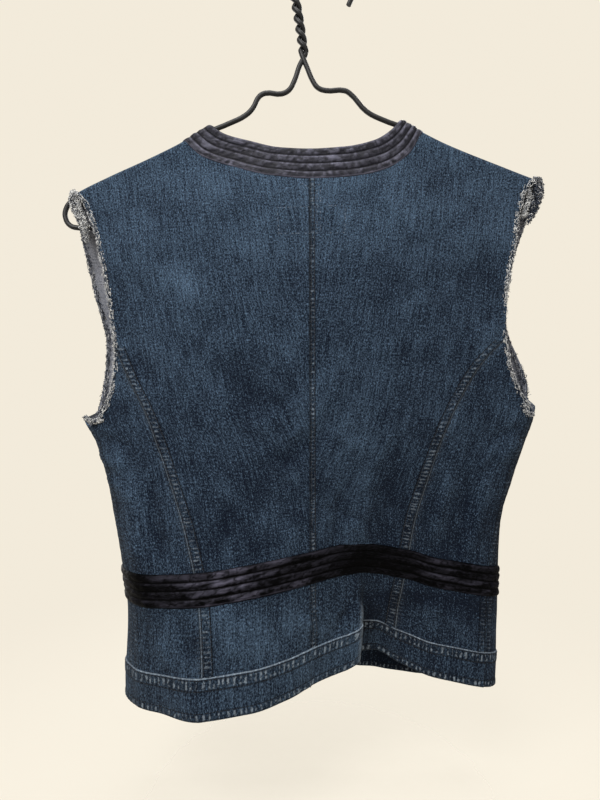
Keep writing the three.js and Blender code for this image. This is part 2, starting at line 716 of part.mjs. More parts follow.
function hangerPath() {
  const hookZ = SEAT.z - 25
  const path = []
  const add = (x, z, y = 0) => path.push(new THREE.Vector3(x - SEAT.x, y, z - SEAT.z))
  add(HOOK.x + HOOK.radius - 3, hookZ - HOOK.tip)
  add(HOOK.x + HOOK.radius - 0.6, hookZ - HOOK.tip / 2)
  for (const angle of steps(14, 0, Math.PI)) {
    add(HOOK.x + HOOK.radius * Math.cos(angle), hookZ + HOOK.radius * Math.sin(angle))
  }
  const twist = (t, phase) => {
    const angle = phase + t * TWIST.turns * 2 * Math.PI
    const x = mix(TWIST.top.x, TWIST.bottom.x, t ** 0.8)
    add(x + TWIST.radius * Math.cos(angle), mix(TWIST.top.z, TWIST.bottom.z, t), TWIST.radius * Math.sin(angle))
  }
  const turns = steps(28)
  turns.forEach((t) => twist(t, Math.PI))
  const under = (x) => ridge(x) - WIRE.below
  const left = [[-2.6, 274.5], [-6.5, 268], [-13, 266], [-30, 266.5], [-35, 264], [-41, 253.5], [-47, 247.5], [-62, 240]]
  left.forEach(([x, z]) => add(x, z))
  for (const x of [-79, -90, -102, -116, -130, -148, -165, -180, -191]) add(x, under(x))
  const loop = [[-198.5, 172.5], [-203.5, 165], [-203.5, 157.5], [-199.5, 151.5], [-192, 149.5]]
  loop.forEach(([x, z]) => add(x, z))
  const rightLoop = [[200, 160.5], [207.5, 162.5], [211.5, 168.5], [211.5, 175.5], [207, 182]]
  rightLoop.forEach(([x, z]) => add(x, z))
  for (const x of [197, 186, 174, 156, 139, 122, 107, 97, 88]) add(x, under(x))
  const right = [[74, 242.5], [58, 250.5], [43, 266.5], [38.5, 268.8], [22.5, 268.8], [16.5, 271], [10, 279]]
  right.forEach(([x, z]) => add(x, z))
  turns.slice().reverse().forEach((t) => twist(t, 0))
  return path
}

// A round wire along a path of points, with flat ends
function wire(path, radius, sides) {
  const tangents = path.map((p, i) => {
    const before = path[Math.max(i - 1, 0)]
    const after = path[Math.min(i + 1, path.length - 1)]
    return after.clone().sub(before).normalize()
  })
  let across = new THREE.Vector3(0, 1, 0)
  const points = []
  path.forEach((p, i) => {
    across = across.clone().addScaledVector(tangents[i], -across.dot(tangents[i])).normalize()
    const other = tangents[i].clone().cross(across)
    for (let k = 0; k < sides; k += 1) {
      const angle = (k * 2 * Math.PI) / sides
      points.push(p.clone()
        .addScaledVector(across, radius * Math.cos(angle))
        .addScaledVector(other, radius * Math.sin(angle)))
    }
  })
  const triangles = []
  for (let i = 0; i < path.length - 1; i += 1) {
    for (let k = 0; k < sides; k += 1) {
      const [a, b] = [i * sides + k, i * sides + ((k + 1) % sides)]
      triangles.push([a, b, b + sides], [a, b + sides, a + sides])
    }
  }
  const end = (path.length - 1) * sides
  for (let k = 1; k < sides - 1; k += 1) {
    triangles.push([0, k + 1, k], [end, end + k, end + k + 1])
  }
  return solid(points, triangles)
}

// Finishes
const DENIM_BLUE = new THREE.MeshStandardMaterial({ color: 0x33455c, roughness: 0.92, metalness: 0 })
const NECK_SATIN = new THREE.MeshStandardMaterial({ color: 0x1d1f33, roughness: 0.42, metalness: 0 })
const WAIST_SATIN = new THREE.MeshStandardMaterial({ color: 0x0e1018, roughness: 0.38, metalness: 0 })
const FRAYED_COTTON = new THREE.MeshStandardMaterial({ color: 0xb9bcc4, roughness: 0.95, metalness: 0 })
const BUTTON_METAL = new THREE.MeshStandardMaterial({ color: 0x6d6a66, roughness: 0.4, metalness: 0.9 })
const BLACK_COAT = new THREE.MeshStandardMaterial({ color: 0x121214, roughness: 0.45, metalness: 0 })

const group = new THREE.Group()

function node(name, geometry, material) {
  const mesh = new THREE.Mesh(geometry, material)
  mesh.name = name
  group.add(mesh)
  return mesh
}

for (const [name, panel] of Object.entries(PANELS)) node(name, sewn(panel), DENIM_BLUE)
node('neck_band_back', neckBandBack(), NECK_SATIN)
node('neck_band_front_left', neckBandFront(LEFT), NECK_SATIN)
node('neck_band_front_right', neckBandFront(RIGHT), NECK_SATIN)
node('waist_band', waistBand(), WAIST_SATIN)
node('hem_band_back', hemBand(BACK_PANELS), DENIM_BLUE)
node('hem_band_front_left', hemBand(['front_left']), DENIM_BLUE)
node('hem_band_front_right', hemBand(['front_right']), DENIM_BLUE)
node('fringe_left', fringe(LEFT), FRAYED_COTTON)
node('fringe_right', fringe(RIGHT), FRAYED_COTTON)
for (let i = 0; i < BUTTON.count; i += 1) {
  const { geometry, turn, position } = button(i)
  const mesh = node(`button_${i + 1}`, geometry, BUTTON_METAL)
  mesh.quaternion.copy(turn)
  mesh.position.copy(position)
}
node('hanger', wire(hangerPath(), WIRE.radius, WIRE.sides), BLACK_COAT)

export default group
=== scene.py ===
"""A cropped denim vest that hangs on a wire hanger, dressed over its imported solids."""
import logging
import math
from dataclasses import dataclass
from enum import Enum, IntEnum
from typing import Any, Callable

import bmesh
import bpy
import numpy as np
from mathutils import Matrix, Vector


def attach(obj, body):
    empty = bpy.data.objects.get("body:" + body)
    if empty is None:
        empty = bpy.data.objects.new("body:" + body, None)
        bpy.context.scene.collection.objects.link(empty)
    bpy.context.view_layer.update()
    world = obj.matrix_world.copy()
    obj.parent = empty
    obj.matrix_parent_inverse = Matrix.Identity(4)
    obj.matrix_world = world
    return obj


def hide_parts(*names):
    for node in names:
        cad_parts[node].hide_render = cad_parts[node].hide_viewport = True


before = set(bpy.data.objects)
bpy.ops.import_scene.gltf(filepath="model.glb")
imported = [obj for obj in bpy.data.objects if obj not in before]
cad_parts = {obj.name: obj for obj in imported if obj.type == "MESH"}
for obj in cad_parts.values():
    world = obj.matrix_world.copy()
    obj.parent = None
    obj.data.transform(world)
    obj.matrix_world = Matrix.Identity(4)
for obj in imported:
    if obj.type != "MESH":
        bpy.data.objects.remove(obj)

log = logging.getLogger("denim_vest")
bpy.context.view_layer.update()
Array = np.ndarray
Arrays = tuple[Array, Array]
Pair = tuple[float, float]
Tone = tuple[int, int, int]
# The numbers that a mesh carries at each point for its material, and these with how far it is raised
Marks = dict[str, Array]
Relief = tuple[Array, Marks]
# The objects that a sub-assembly has made, each by the name of its solid or its own
Pieces = dict[str, Any]

# Every size is in millimetres on a chart whose zero is the camera's axis, until a mesh is written
MM = 0.001
SEAT_X, SEAT_Z = 18.0, 380.0
LEFT, RIGHT = -1.0, 1.0
BACK, FRONT = -1.0, 1.0


class Sheet(Enum):
    """How a sheet is laid, by its shell's offset: a panel by its middle, a band by its outer side."""

    PANEL = 0.0
    BAND = -1.0


class Seed(IntEnum):
    """What sets each random pattern apart."""

    DRAPE = 5
    PUCKER_RUN = 11
    PUCKER_PUFF = 12
    ARMHOLE = 21
    FOOT = 31
    NECK_BACK = 41
    NECK_LEFT = 43
    NECK_RIGHT = 45
    WAIST = 51
    WAIST_GLOSS = 57
    HEM_RUN = 61
    HEM_PUFF = 62
    HEM_DRAPE = 63
    HEM_WEAR = 64
    FRINGE_LEFT = 71
    FRINGE_RIGHT = 73
    FOLD = 91
    PATCH = 97


def mix(a: Any, b: Any, share: Any) -> Any:
    """What lies a share of the way from a to b."""
    return a + (b - a) * share


def ease(t: Any) -> Array:
    """A soft step from 0 to 1."""
    k = np.clip(t, 0.0, 1.0)
    return k * k * (3.0 - 2.0 * k)


def through(at: Array, values: Array, where: Array) -> Array:
    """A smooth line through stations that doesn't overshoot them, and runs straight on beyond its ends.

    Args:
        at: The stations, rising.
        values: What the line passes through: one value a station, or one row of values a station.
        where: Where the line is read.

    Returns:
        The line's value at each place.
    """
    where = np.asarray(where, float)
    shape = where.shape
    flat = where.ravel()
    rows = np.broadcast_to(np.asarray(values, float).reshape(len(at), -1), (len(at), flat.size))
    rises = np.diff(rows, axis=0) / np.diff(at)[:, None]
    before, after = rises[:-1], rises[1:]
    total = np.where(before * after > 0, before + after, 1.0)
    inner = np.where(before * after > 0, 2 * before * after / total, 0.0)
    slopes = np.concatenate([rises[:1], inner, rises[-1:]])
    k = np.clip(np.searchsorted(at, flat, side="right") - 1, 0, len(at) - 2)
    column = np.arange(flat.size)
    width = at[k + 1] - at[k]
    t = np.clip((flat - at[k]) / width, 0.0, 1.0)
    line = (2 * t**3 - 3 * t**2 + 1) * rows[k, column] + (t**3 - 2 * t**2 + t) * slopes[k, column] * width
    line += (3 * t**2 - 2 * t**3) * rows[k + 1, column] + (t**3 - t**2) * slopes[k + 1, column] * width
    line += slopes[0, column] * np.minimum(flat - at[0], 0.0)
    line += slopes[-1, column] * np.maximum(flat - at[-1], 0.0)
    return line.reshape(shape)


class Curve:
    """A smooth line through a short table."""

    def __init__(self, table: dict[float, float]) -> None:
        """Keeps the table's stations in rising order."""
        self.at = np.array(sorted(table), float)
        self.values = np.array([table[key] for key in sorted(table)], float)

    def __call__(self, where: Any) -> Array:
        """The line's value at each place."""
        return through(self.at, self.values, np.asarray(where, float))


# Silhouette at each height, and the radius by which the cloth turns there from back to front
LEFT_LINE = Curve({
    -258: -149, -225: -149.5, -175: -147.5, -130: -153, -100: -158.5, -68: -165, -35: -176, -15: -187,
    40: -200, 110: -212, 250: -232,
})
RIGHT_LINE = Curve({
    -258: 166, -225: 168.5, -175: 170, -130: 171, -100: 173, -68: 182, -35: 194, -15: 201, 40: 211,
    110: 222, 250: 240,
})
TURN = Curve({
    -258: 26, -225: 28, -175: 30, -130: 28, -100: 26, -68: 24, -35: 22, -15: 20, 40: 20, 110: 22, 250: 24,
})
# The shoulders' ridge over the wire
RIDGE = Curve({
    -203: 172, -191: 180, -165: 193, -130: 209, -102: 223, -79: 237, -45: 250, 5: 256, 55: 251,
    88: 241.5, 107: 231, 126: 221.5, 174: 202, 197: 193, 213: 187,
})
ACROSS = np.array([-150, -115, -76, -40, -10, 8, 25, 42, 56, 70, 92, 115, 140, 170], float)
# How far the back stands out from the hanger's plane at each height, across the chart
BACK_OUT = {
    215: [7, 7, 8, 9, 10, 10, 10, 9, 9, 8, 8, 7, 7, 7],
    150: [10, 12, 14, 16, 16, 16, 16, 16, 16, 15, 14, 13, 12, 10],
    60: [14, 20, 24, 26, 27, 27, 27, 26, 26, 25, 23, 20, 17, 14],
    -20: [22, 28, 31, 32, 31, 30, 30, 29, 28, 27, 25, 22, 20, 18],
    -85: [28, 36, 39, 38, 35, 33, 30, 27, 25, 23, 20, 18, 17, 18],
    -150: [31, 45, 50, 48, 42, 37, 31, 25, 21, 18, 15, 14, 15, 16],
    -200: [26, 44, 57, 56, 46, 36, 27, 20, 9, 5, 6, 9, 13, 16],
    -240: [22, 42, 63, 61, 47, 33, 23, 16, 2, -5, 1, 7, 12, 16],
}
FRONT_OUT = Curve({-258: 33, -150: 30, -60: 29, 30: 30, 110: 20, 180: 10, 250: 8})
# How far the belt and the hem ride up at each place across
BELT_LIFT = Curve({
    -155: -3, -120: -1.5, -76: 1.5, -40: 7, -10: 12, 8: 15, 36: 19, 50: 19, 66: 17, 80: 14, 94: 11, 112: 5,
    135: 1, 172: -5.5,
})
HEM_LIFT = Curve({
    -155: -13, -120: -8.5, -76: -5, -40: 0, -10: 4, 8: 8, 36: 14.5, 43: 19.5, 47.5: 26.5, 52: 24, 66: 22,
    80: 15, 94: 9, 112: 3, 135: 0, 172: -6,
})


@dataclass(frozen=True)
class Spots:
    """Places on the cloth: half, face, distance round from the silhouette, and height."""

    side: Array
    face: Array
    around: Array
    height: Array

    def shifted(self, around: float = 0.0, height: float = 0.0) -> "Spots":
        """The same places, moved along the cloth."""
        return Spots(self.side, self.face, self.around + around, self.height + height)


def spots(side: Any, face: Any, around: Any, height: Any) -> Spots:
    """Places on the cloth from numbers or arrays of one shape."""
    return Spots(*np.broadcast_arrays(*(np.asarray(part, float) for part in (side, face, around, height))))


@dataclass(frozen=True)
class Form:
    """The hung form that every piece of cloth lies on, the same as the solids'."""

    centre: float = 8.0
    fold: float = 4.0
    pleat_x: float = 52.0
    pleat_top: float = -150.0
    pleat_full: float = -205.0
    pleat_reach: float = 9.0
    pleat_over: float = 6.0
    lap_left: float = 30.0
    lap_right: float = -13.0
    lap_over: float = 5.4
    lap_ease: float = 26.0
    front_lift: float = 0.35
    front_drop: float = 14.0
    step: float = 0.4

    def ridge_top(self, x: Any) -> Array:
        """The height that the cloth's own length reaches at the shoulder's ridge."""
        return RIDGE(x) + self.fold * (math.pi / 2 - 1)

    def side_line(self, side: Array, z: Array) -> Array:
        """The silhouette of one half at each height."""
        return np.where(side < 0, LEFT_LINE(z), RIGHT_LINE(z))

    def around(self, side: Any, x: Any, z: Any) -> Array:
        """The distance round the cloth from the silhouette to a place across the chart.

        Args:
            side: The half.
            x: Across the chart.
            z: The height.

        Returns:
            The distance.
        """
        turn = TURN(z)
        inward = np.maximum((self.side_line(np.asarray(side, float), z) - x) * side, 0.0)
        near = turn * np.arccos(np.clip(1 - inward / turn, -1.0, 1.0))
        return np.where(inward < turn, near, inward + turn * (math.pi / 2 - 1))

    def crossing(self, side: Array, around: Array, z: Array) -> Arrays:
        """Where a distance round the cloth lies across the chart, and its share of the full depth.

        Args:
            side: The half.
            around: Distances round.
            z: The height.

        Returns:
            The places across, and the shares.
        """
        turn = TURN(z)
        far = np.abs(around)
        quarter = turn * math.pi / 2
        angle = np.minimum(far / turn, math.pi / 2)
        inward = np.where(far < quarter, turn * (1 - np.cos(angle)), far - quarter + turn)
        return self.side_line(side, z) - side * inward, np.sin(angle)

    def back_out(self, x: Array, z: Array) -> Array:
        """How far the back stands out.

        Args:
            x: Across the chart.
            z: The height.

        Returns:
            The distance.
        """
        heights = sorted(BACK_OUT)
        rows = [through(ACROSS, np.array(BACK_OUT[height], float), x).ravel() for height in heights]
        z = np.clip(z, -260.0, 240.0)
        return through(np.array(heights, float), np.stack(rows), z)

    def lift(self, x: Array, z: Array, facing: Array, share: Array) -> Array:
        """How far the lower part rides up.

        Args:
            x: Across the chart.
            z: The height.
            facing: The face.
            share: The share of the full depth.

        Returns:
            The rise.
        """
        started = ease((-30 - z) / 115)
        lower = ease((-150 - z) / 90)
        behind = mix(BELT_LIFT(x), HEM_LIFT(x), lower)
        ahead = mix(behind, self.front_lift * behind - self.front_drop, share)
        return started * np.where(facing < 0, behind, ahead)

    def point(self, at: Spots) -> Array:
        """Points of the cloth's middle surface, three numbers each, in chart millimetres.

        Args:
            at: Places on the cloth.

        Returns:
            The points.
        """
        side, around, z = at.side, at.around, at.height
        facing = np.where(around < 0, -at.face, at.face)
        x, share = self.crossing(side, around, z)
        ridge = RIDGE(x)
        below = self.ridge_top(x) - z
        quarter = self.fold * math.pi / 2
        folding = below < quarter
        bend = np.clip(below, 0.0, quarter) / self.fold
        top = self.fold * np.sin(bend)
        drop = np.where(folding, self.fold * (1 - np.cos(below / self.fold)), self.fold + below - quarter)
        full = np.where(facing < 0, self.back_out(x, z), FRONT_OUT(z))
        out = top + (full - self.fold) * ease((below - quarter) / 70)
        over = self.lap_over * ease((self.lap_left + self.lap_ease - x) / self.lap_ease)
        lap = np.where((facing > 0) & (side > 0), over * ease(below / 30), 0.0)
        near = (x - self.pleat_x) / self.pleat_reach
        started = ease((self.pleat_top - z) / (self.pleat_top - self.pleat_full))
        pull = np.where(facing < 0, -self.pleat_over * started * near * np.exp(0.5 - near**2), 0.0)
        height = ridge - drop + self.lift(x, z, facing, share)
        return np.stack([x + pull - SEAT_X, facing * (out * share + lap), height - SEAT_Z], axis=-1)

    def outward(self, at: Spots) -> Array:
        """The directions that point away from the cloth's outer side.

        Args:
            at: Places on the cloth.

        Returns:
            Directions of length one.
        """
        along = self.point(at.shifted(around=self.step)) - self.point(at.shifted(around=-self.step))
        up = self.point(at.shifted(height=self.step)) - self.point(at.shifted(height=-self.step))
        normal = np.cross(along, up) * (at.side * at.face)[..., None]
        return normal / np.maximum(np.linalg.norm(normal, axis=-1, keepdims=True), 1e-9)

    def moved(self, at: Spots, offset: Any) -> Array:
        """Points at a distance off the cloth's middle surface."""
        return self.point(at) + self.outward(at) * np.asarray(offset, float)[..., None]


FORM = Form()


# Where the hem and the belt lie, how thick the solids' denim is, and the slits between pieces
HEM_HEIGHT, HEM_WIDTH = -240.0, 30.0
HEM_TOP = HEM_HEIGHT + HEM_WIDTH
BELT_HEIGHT, BELT_WIDTH = -150.0, 26.0
DENIM = 1.6
GAP, NECK_GAP = 0.3, -1.5
# How far the side panels run on under the middle ones, and all panels under the hem bands
UNDER, UNDER_HEM = 1.6, 2.5
# The shoulder's share of a panel's upper edge
RIDGE_SHARE = 0.4


@dataclass(frozen=True)
class Seams:
    """The seam lines and armhole edges of one half, as places across the chart at each height."""

    side: Curve
    princess: Curve
    armhole: Curve
    front_armhole: Curve
    shoulder: float
    neck_end: float
    underarm: float
    princess_top: float


SEAMS = {
    LEFT: Seams(
        side=Curve({-260: -136, -175: -137, -130: -147, -60: -162, -24: -178}),
        princess=Curve({
            -260: -74, -215: -75, -160: -79, -112: -90, -64: -106, -36: -117, -8: -129, 20: -144.5,
            47: -157.5,
        }),
        armhole=Curve({
            -24: -178, -13: -168, 0: -161, 17: -157.5, 34: -156.5, 47: -157.5, 86: -163, 112: -168,
            138: -174, 156: -180, 169: -186, float(FORM.ridge_top(-195)): -195,
        }),
        front_armhole=Curve({
            -24: -184, -8: -182.5, 6: -181, 20: -179.5, 37: -178, 55: -177.5, 71: -180.5, 106: -188,
            132: -191.5, 152: -193.8, float(FORM.ridge_top(-195)): -195,
        }),
        shoulder=-195.0, neck_end=-102.8, underarm=-24.0, princess_top=47.0,
    ),
    RIGHT: Seams(
        side=Curve({-260: 156, -175: 158, -125: 165, -60: 180, -12: 198.5}),
        princess=Curve({
            -260: 80, -200: 83, -150: 90, -110: 96, -70: 106, -30: 119, 5: 136, 32: 153.5, 52: 173.8,
        }),
        armhole=Curve({
            -12: 198.5, -4: 193, 6: 186, 22: 179.5, 43: 175, 60: 173, 86: 175, 120: 181, 146: 185.5,
            170: 190.5, 183: 196.5, float(FORM.ridge_top(205)): 205,
        }),
        front_armhole=Curve({
            -12: 200.5, 2: 202.5, 14: 203.5, 30: 201.5, 44: 197.5, 60: 190.5, 78: 187, 110: 189, 145: 196,
            165: 201.5, 178: 203.8, float(FORM.ridge_top(205)): 205,
        }),
        shoulder=205.0, neck_end=107.8, underarm=-12.0, princess_top=52.0,
    ),
}

# The back neck's edge, and the satin band's outer edge, from the left shoulder to the right
NECK_INNER_X = Curve({0: -79, 0.1: -65, 0.22: -43, 0.36: -17, 0.5: 8, 0.66: 40, 0.8: 64, 0.91: 78, 1: 88})
NECK_INNER_Z = Curve({
    0: 239.3, 0.1: 229.5, 0.22: 223, 0.36: 216.8, 0.5: 215.5, 0.66: 218, 0.8: 224, 0.91: 232.5, 1: 243.8,
})
NECK_OUTER_X = Curve({0: -102, 0.1: -86, 0.22: -60, 0.36: -28, 0.5: 8, 0.66: 46, 0.8: 75, 0.91: 94, 1: 107})
NECK_OUTER_Z = Curve({
    0: 225.3, 0.1: 210, 0.22: 199.5, 0.36: 190.5, 0.5: 187, 0.66: 189.5, 0.8: 197.5, 0.91: 211.5, 1: 233.3,
})
FRONT_NECK_INNER, FRONT_NECK_OUTER = 158.0, 128.0


def neck_front(side: float, outer: bool, angle: Array) -> Arrays:
    """The front neck's edge, or the satin band's outer edge, at an angle round it from the shoulder.

    Args:
        side: The half.
        outer: Whether it's the outer edge.
        angle: The angle.

    Returns:
        Places across, and heights.
    """
    start = 0.0 if side < 0 else 1.0
    across, height = (NECK_OUTER_X, NECK_OUTER_Z) if outer else (NECK_INNER_X, NECK_INNER_Z)
    low = FRONT_NECK_OUTER if outer else FRONT_NECK_INNER
    x = FORM.centre + (across(start) - FORM.centre) * np.cos(angle)
    return x, height(start) + (low - height(start)) * np.sin(angle)


def front_angle(side: float, share: Array) -> Array:
    """The angle round the front neck, which ends at the front's edge."""
    end, start = FORM.lap_left if side < 0 else FORM.lap_right, neck_front(side, True, np.array(0.0))[0]
    return share * math.acos((FORM.centre - end) / (FORM.centre - float(start)))


@dataclass(frozen=True)
class Panel:
    """A cut panel: its side edges at each height, and its upper edge from the rim to the inner side."""

    side: float
    face: float
    rim: Callable[[Array], Array]
    inner: Callable[[Array], Array]
    rim_high: float
    inner_high: float
    top: Callable[[Array], Arrays]
    low: float = HEM_TOP - UNDER_HEM

    @property
    def middle(self) -> bool:
        """Whether this is a middle panel of the back."""
        return self.face == BACK and self.rim_high > SEAMS[self.side].princess_top

    def place(self, s: Array, t: Array) -> Spots:
        """Places at shares across from the rim and up from the foot, inside the four edges.

        Args:
            s: Shares across.
            t: Shares up.

        Returns:
            The places.
        """
        z_rim, z_inner = mix(self.low, self.rim_high, t), mix(self.low, self.inner_high, t)
        rim, inner = self.rim(z_rim), self.inner(z_inner)
        foot_rim, foot_inner = float(self.rim(self.low)), float(self.inner(self.low))
        foot = mix(foot_rim, foot_inner, s)
        top, top_z = self.top(s)
        (left, left_z), (right, right_z) = self.top(np.array(0.0)), self.top(np.array(1.0))
        around = mix(rim, inner, s) + mix(foot, top, t) - mix(foot, mix(left, right, s), t)
        z = mix(z_rim, z_inner, s) + mix(self.low, top_z, t) - mix(self.low, mix(left_z, right_z, s), t)
        return spots(self.side, self.face, around, z)

    def at_height(self, s: Array, z: Array) -> Spots:
        """Places on the panel's columns at given heights.

        Args:
            s: Shares across.
            z: The height.

        Returns:
            The places.
        """
        s, z = np.broadcast_arrays(np.asarray(s, float), np.asarray(z, float))
        low, high = np.zeros_like(z), np.ones_like(z)
        for _ in range(24):
            t = (low + high) / 2
            under = self.place(s, t).height < z
            low, high = np.where(under, t, low), np.where(under, high, t)
        return spots(self.side, self.face, self.place(s, low).around, z)


def on_ridge(side: float, s: Array) -> Arrays:
    """The shoulder's stretch of a panel's upper edge.

    Args:
        side: The half.
        s: Shares across.

    Returns:
        Distances round, and heights.
    """
    seams = SEAMS[side]
    x = mix(seams.shoulder, seams.neck_end, np.minimum(s / RIDGE_SHARE, 1.0))
    z = FORM.ridge_top(x) - GAP
    return FORM.around(side, x, z), z


def back_centre(side: float) -> Panel:
    """The back's middle panel of one half.

    Args:
        side: The half.

    Returns:
        The panel.
    """
    seams = SEAMS[side]
    corner = seams.princess_top

    def rim(z: Array) -> Array:
        """The princess seam, and the armhole above it."""
        below = np.asarray(z) < corner
        return FORM.around(side, np.where(below, seams.princess(z), seams.armhole(z)), z) - GAP * below

    def top(s: Array) -> Arrays:
        """The shoulder's ridge, then the neck.

        Args:
            s: Shares across.

        Returns:
            Distances round, and heights.
        """
        ridge, ridge_z = on_ridge(side, s)
        half = np.maximum(0.5 * (s - RIDGE_SHARE) / (1 - RIDGE_SHARE), 0.0)
        share = half if side < 0 else 1 - half
        x = NECK_OUTER_X(share)
        z = np.minimum(NECK_OUTER_Z(share), FORM.ridge_top(x)) - NECK_GAP
        aside = side * 2 * NECK_GAP * (0.5 - half)
        neck = FORM.around(side, x + aside, z)
        return np.where(s <= RIDGE_SHARE, ridge, neck), np.where(s <= RIDGE_SHARE, ridge_z, z)

    def inner(z: Array) -> Array:
        """The centre back seam."""
        return FORM.around(side, FORM.centre, z)

    high = float(FORM.ridge_top(seams.shoulder)) - GAP
    return Panel(side, BACK, rim, inner, high, float(top(np.array(1.0))[1]), top)


def back_side(side: float) -> Panel:
    """The back's side panel of one half, between the princess seam and the side seam.

    Args:
        side: The half.

    Returns:
        The panel.
    """
    seams = SEAMS[side]

    def rim(z: Array) -> Array:
        """The side seam."""
        return FORM.around(side, seams.side(z), z) + GAP / 2

    def inner(z: Array) -> Array:
        """The princess seam."""
        return FORM.around(side, seams.princess(z), z)

    def top(s: Array) -> Arrays:
        """The armhole, from the underarm to the princess seam."""
        z = mix(seams.underarm, seams.princess_top, np.asarray(s, float) ** 1.6)
        return FORM.around(side, seams.armhole(z), z) + mix(GAP / 2, 0.0, s), z

    return Panel(side, BACK, rim, inner, seams.underarm, seams.princess_top, top)


def front(side: float) -> Panel:
    """The front of one half, from the side seam round to its own edge.

    Args:
        side: The half.

    Returns:
        The panel.
    """
    seams = SEAMS[side]
    end = FORM.lap_left if side < 0 else FORM.lap_right

    def back_seam(z: Array) -> Array:
        """The side seam, which lies behind the silhouette."""
        return GAP / 2 - FORM.around(side, seams.side(z), z)

    def rim(z: Array) -> Array:
        """The side seam, and the armhole above it.

        Args:
            z: The height.

        Returns:
            Distances round.
        """
        z = np.asarray(z, float)
        armhole = FORM.around(side, seams.front_armhole(z), z)
        corner = float(back_seam(np.array(seams.underarm)))
        above = mix(corner, armhole, ease((z - seams.underarm) / 14))
        return np.where(z < seams.underarm, back_seam(z), above)

    def top(s: Array) -> Arrays:
        """The shoulder's ridge, then the neck.

        Args:
            s: Shares across.

        Returns:
            Distances round, and heights.
        """
        ridge, ridge_z = on_ridge(side, s)
        angle = front_angle(side, np.maximum((s - RIDGE_SHARE) / (1 - RIDGE_SHARE), 0.0))
        x, z = neck_front(side, True, angle)
        z = np.minimum(z, FORM.ridge_top(x)) - mix(GAP, NECK_GAP, np.sin(angle))
        neck = FORM.around(side, x + side * NECK_GAP * np.cos(angle), z)
        return np.where(s <= RIDGE_SHARE, ridge, neck), np.where(s <= RIDGE_SHARE, ridge_z, z)

    def inner(z: Array) -> Array:
        """The front's own edge."""
        return FORM.around(side, end, z)

    high = float(FORM.ridge_top(seams.shoulder)) - GAP
    return Panel(side, FRONT, rim, inner, high, float(top(np.array(1.0))[1]), top)


PANELS = {
    "back_centre_left": back_centre(LEFT),
    "back_centre_right": back_centre(RIGHT),
    "back_side_left": back_side(LEFT),
    "back_side_right": back_side(RIGHT),
    "front_left": front(LEFT),
    "front_right": front(RIGHT),
}
# The panels in order round the body, and whether each is crossed from its inner side to its rim
ROUND_THE_BODY = (
    ("front_left", True), ("back_side_left", False), ("back_centre_left", False),
    ("back_centre_right", True), ("back_side_right", True), ("front_right", False),
)


def stations(length: float, fine: float, coarse: float, reach: float) -> Array:
    """Shares along a length, close together near both ends and wider apart between them.

    Args:
        length: The length.
        fine: The step at the ends.
        coarse: The step between.
        reach: How far the fine steps go.

    Returns:
        The shares.
    """
    at = [0.0]
    while at[-1] < length:
        near = min(at[-1], length - at[-1])
        at.append(at[-1] + float(mix(fine, coarse, ease(near / reach))))
    return np.array(at) / at[-1]


def value_noise(u: Array, v: Array, seed: int) -> Array:
    """Smooth noise from -1 to 1 on a lattice of whole numbers.

    Args:
        u: Places one way.
        v: Places the other way.
        seed: Sets the table.

    Returns:
        The noise.
    """
    table = np.random.default_rng(seed).uniform(-1.0, 1.0, (256, 256))
    u0, v0 = np.floor(u).astype(int), np.floor(v).astype(int)
    a, b = ease(u - u0), ease(v - v0)

    def at(i: int, j: int) -> Array:
        """The lattice's own value beside each place."""
        return table[(u0 + i) % 256, (v0 + j) % 256]

    return mix(mix(at(0, 0), at(1, 0), a), mix(at(0, 1), at(1, 1), a), b)


# The name of the UV map that holds a piece's flat cut, in metres
FLAT_CUT = "cloth"


class Value:
    """A number that varies over a surface; a sum on it adds the Math nodes for it."""

    def __init__(self, maker: "Maker", socket: Any) -> None:
        """Wraps an output socket of a node that the maker has added."""
        self.maker = maker
        self.socket = socket

    def _sum(self, operation: str, a: Any, b: Any) -> "Value":
        """One Math node."""
        node = self.maker.add("ShaderNodeMath", {"operation": operation}, {0: a, 1: b})
        return Value(self.maker, node.outputs[0])

    def __add__(self, other: Any) -> "Value":
        """self + other."""
        return self._sum("ADD", self, other)

    def __radd__(self, other: Any) -> "Value":
        """other + self."""
        return self._sum("ADD", other, self)

    def __sub__(self, other: Any) -> "Value":
        """self - other."""
        return self._sum("SUBTRACT", self, other)

    def __rsub__(self, other: Any) -> "Value":
        """other - self."""
        return self._sum("SUBTRACT", other, self)

    def __mul__(self, other: Any) -> "Value":
        """self * other."""
        return self._sum("MULTIPLY", self, other)

    def sine(self) -> "Value":
        """The sine of the value."""
        return self._sum("SINE", self, 0.0)

    def between(self, low: float, high: float) -> "Value":
        """A soft step from 0 at low to 1 at high.

        Args:
            low: Where it starts.
            high: Where it ends.

        Returns:
            The step.
        """
        node = self.maker.add(
            "ShaderNodeMapRange", {"interpolation_type": "SMOOTHSTEP"}, {0: self, 1: low, 2: high}
        )
        return Value(self.maker, node.outputs[0])


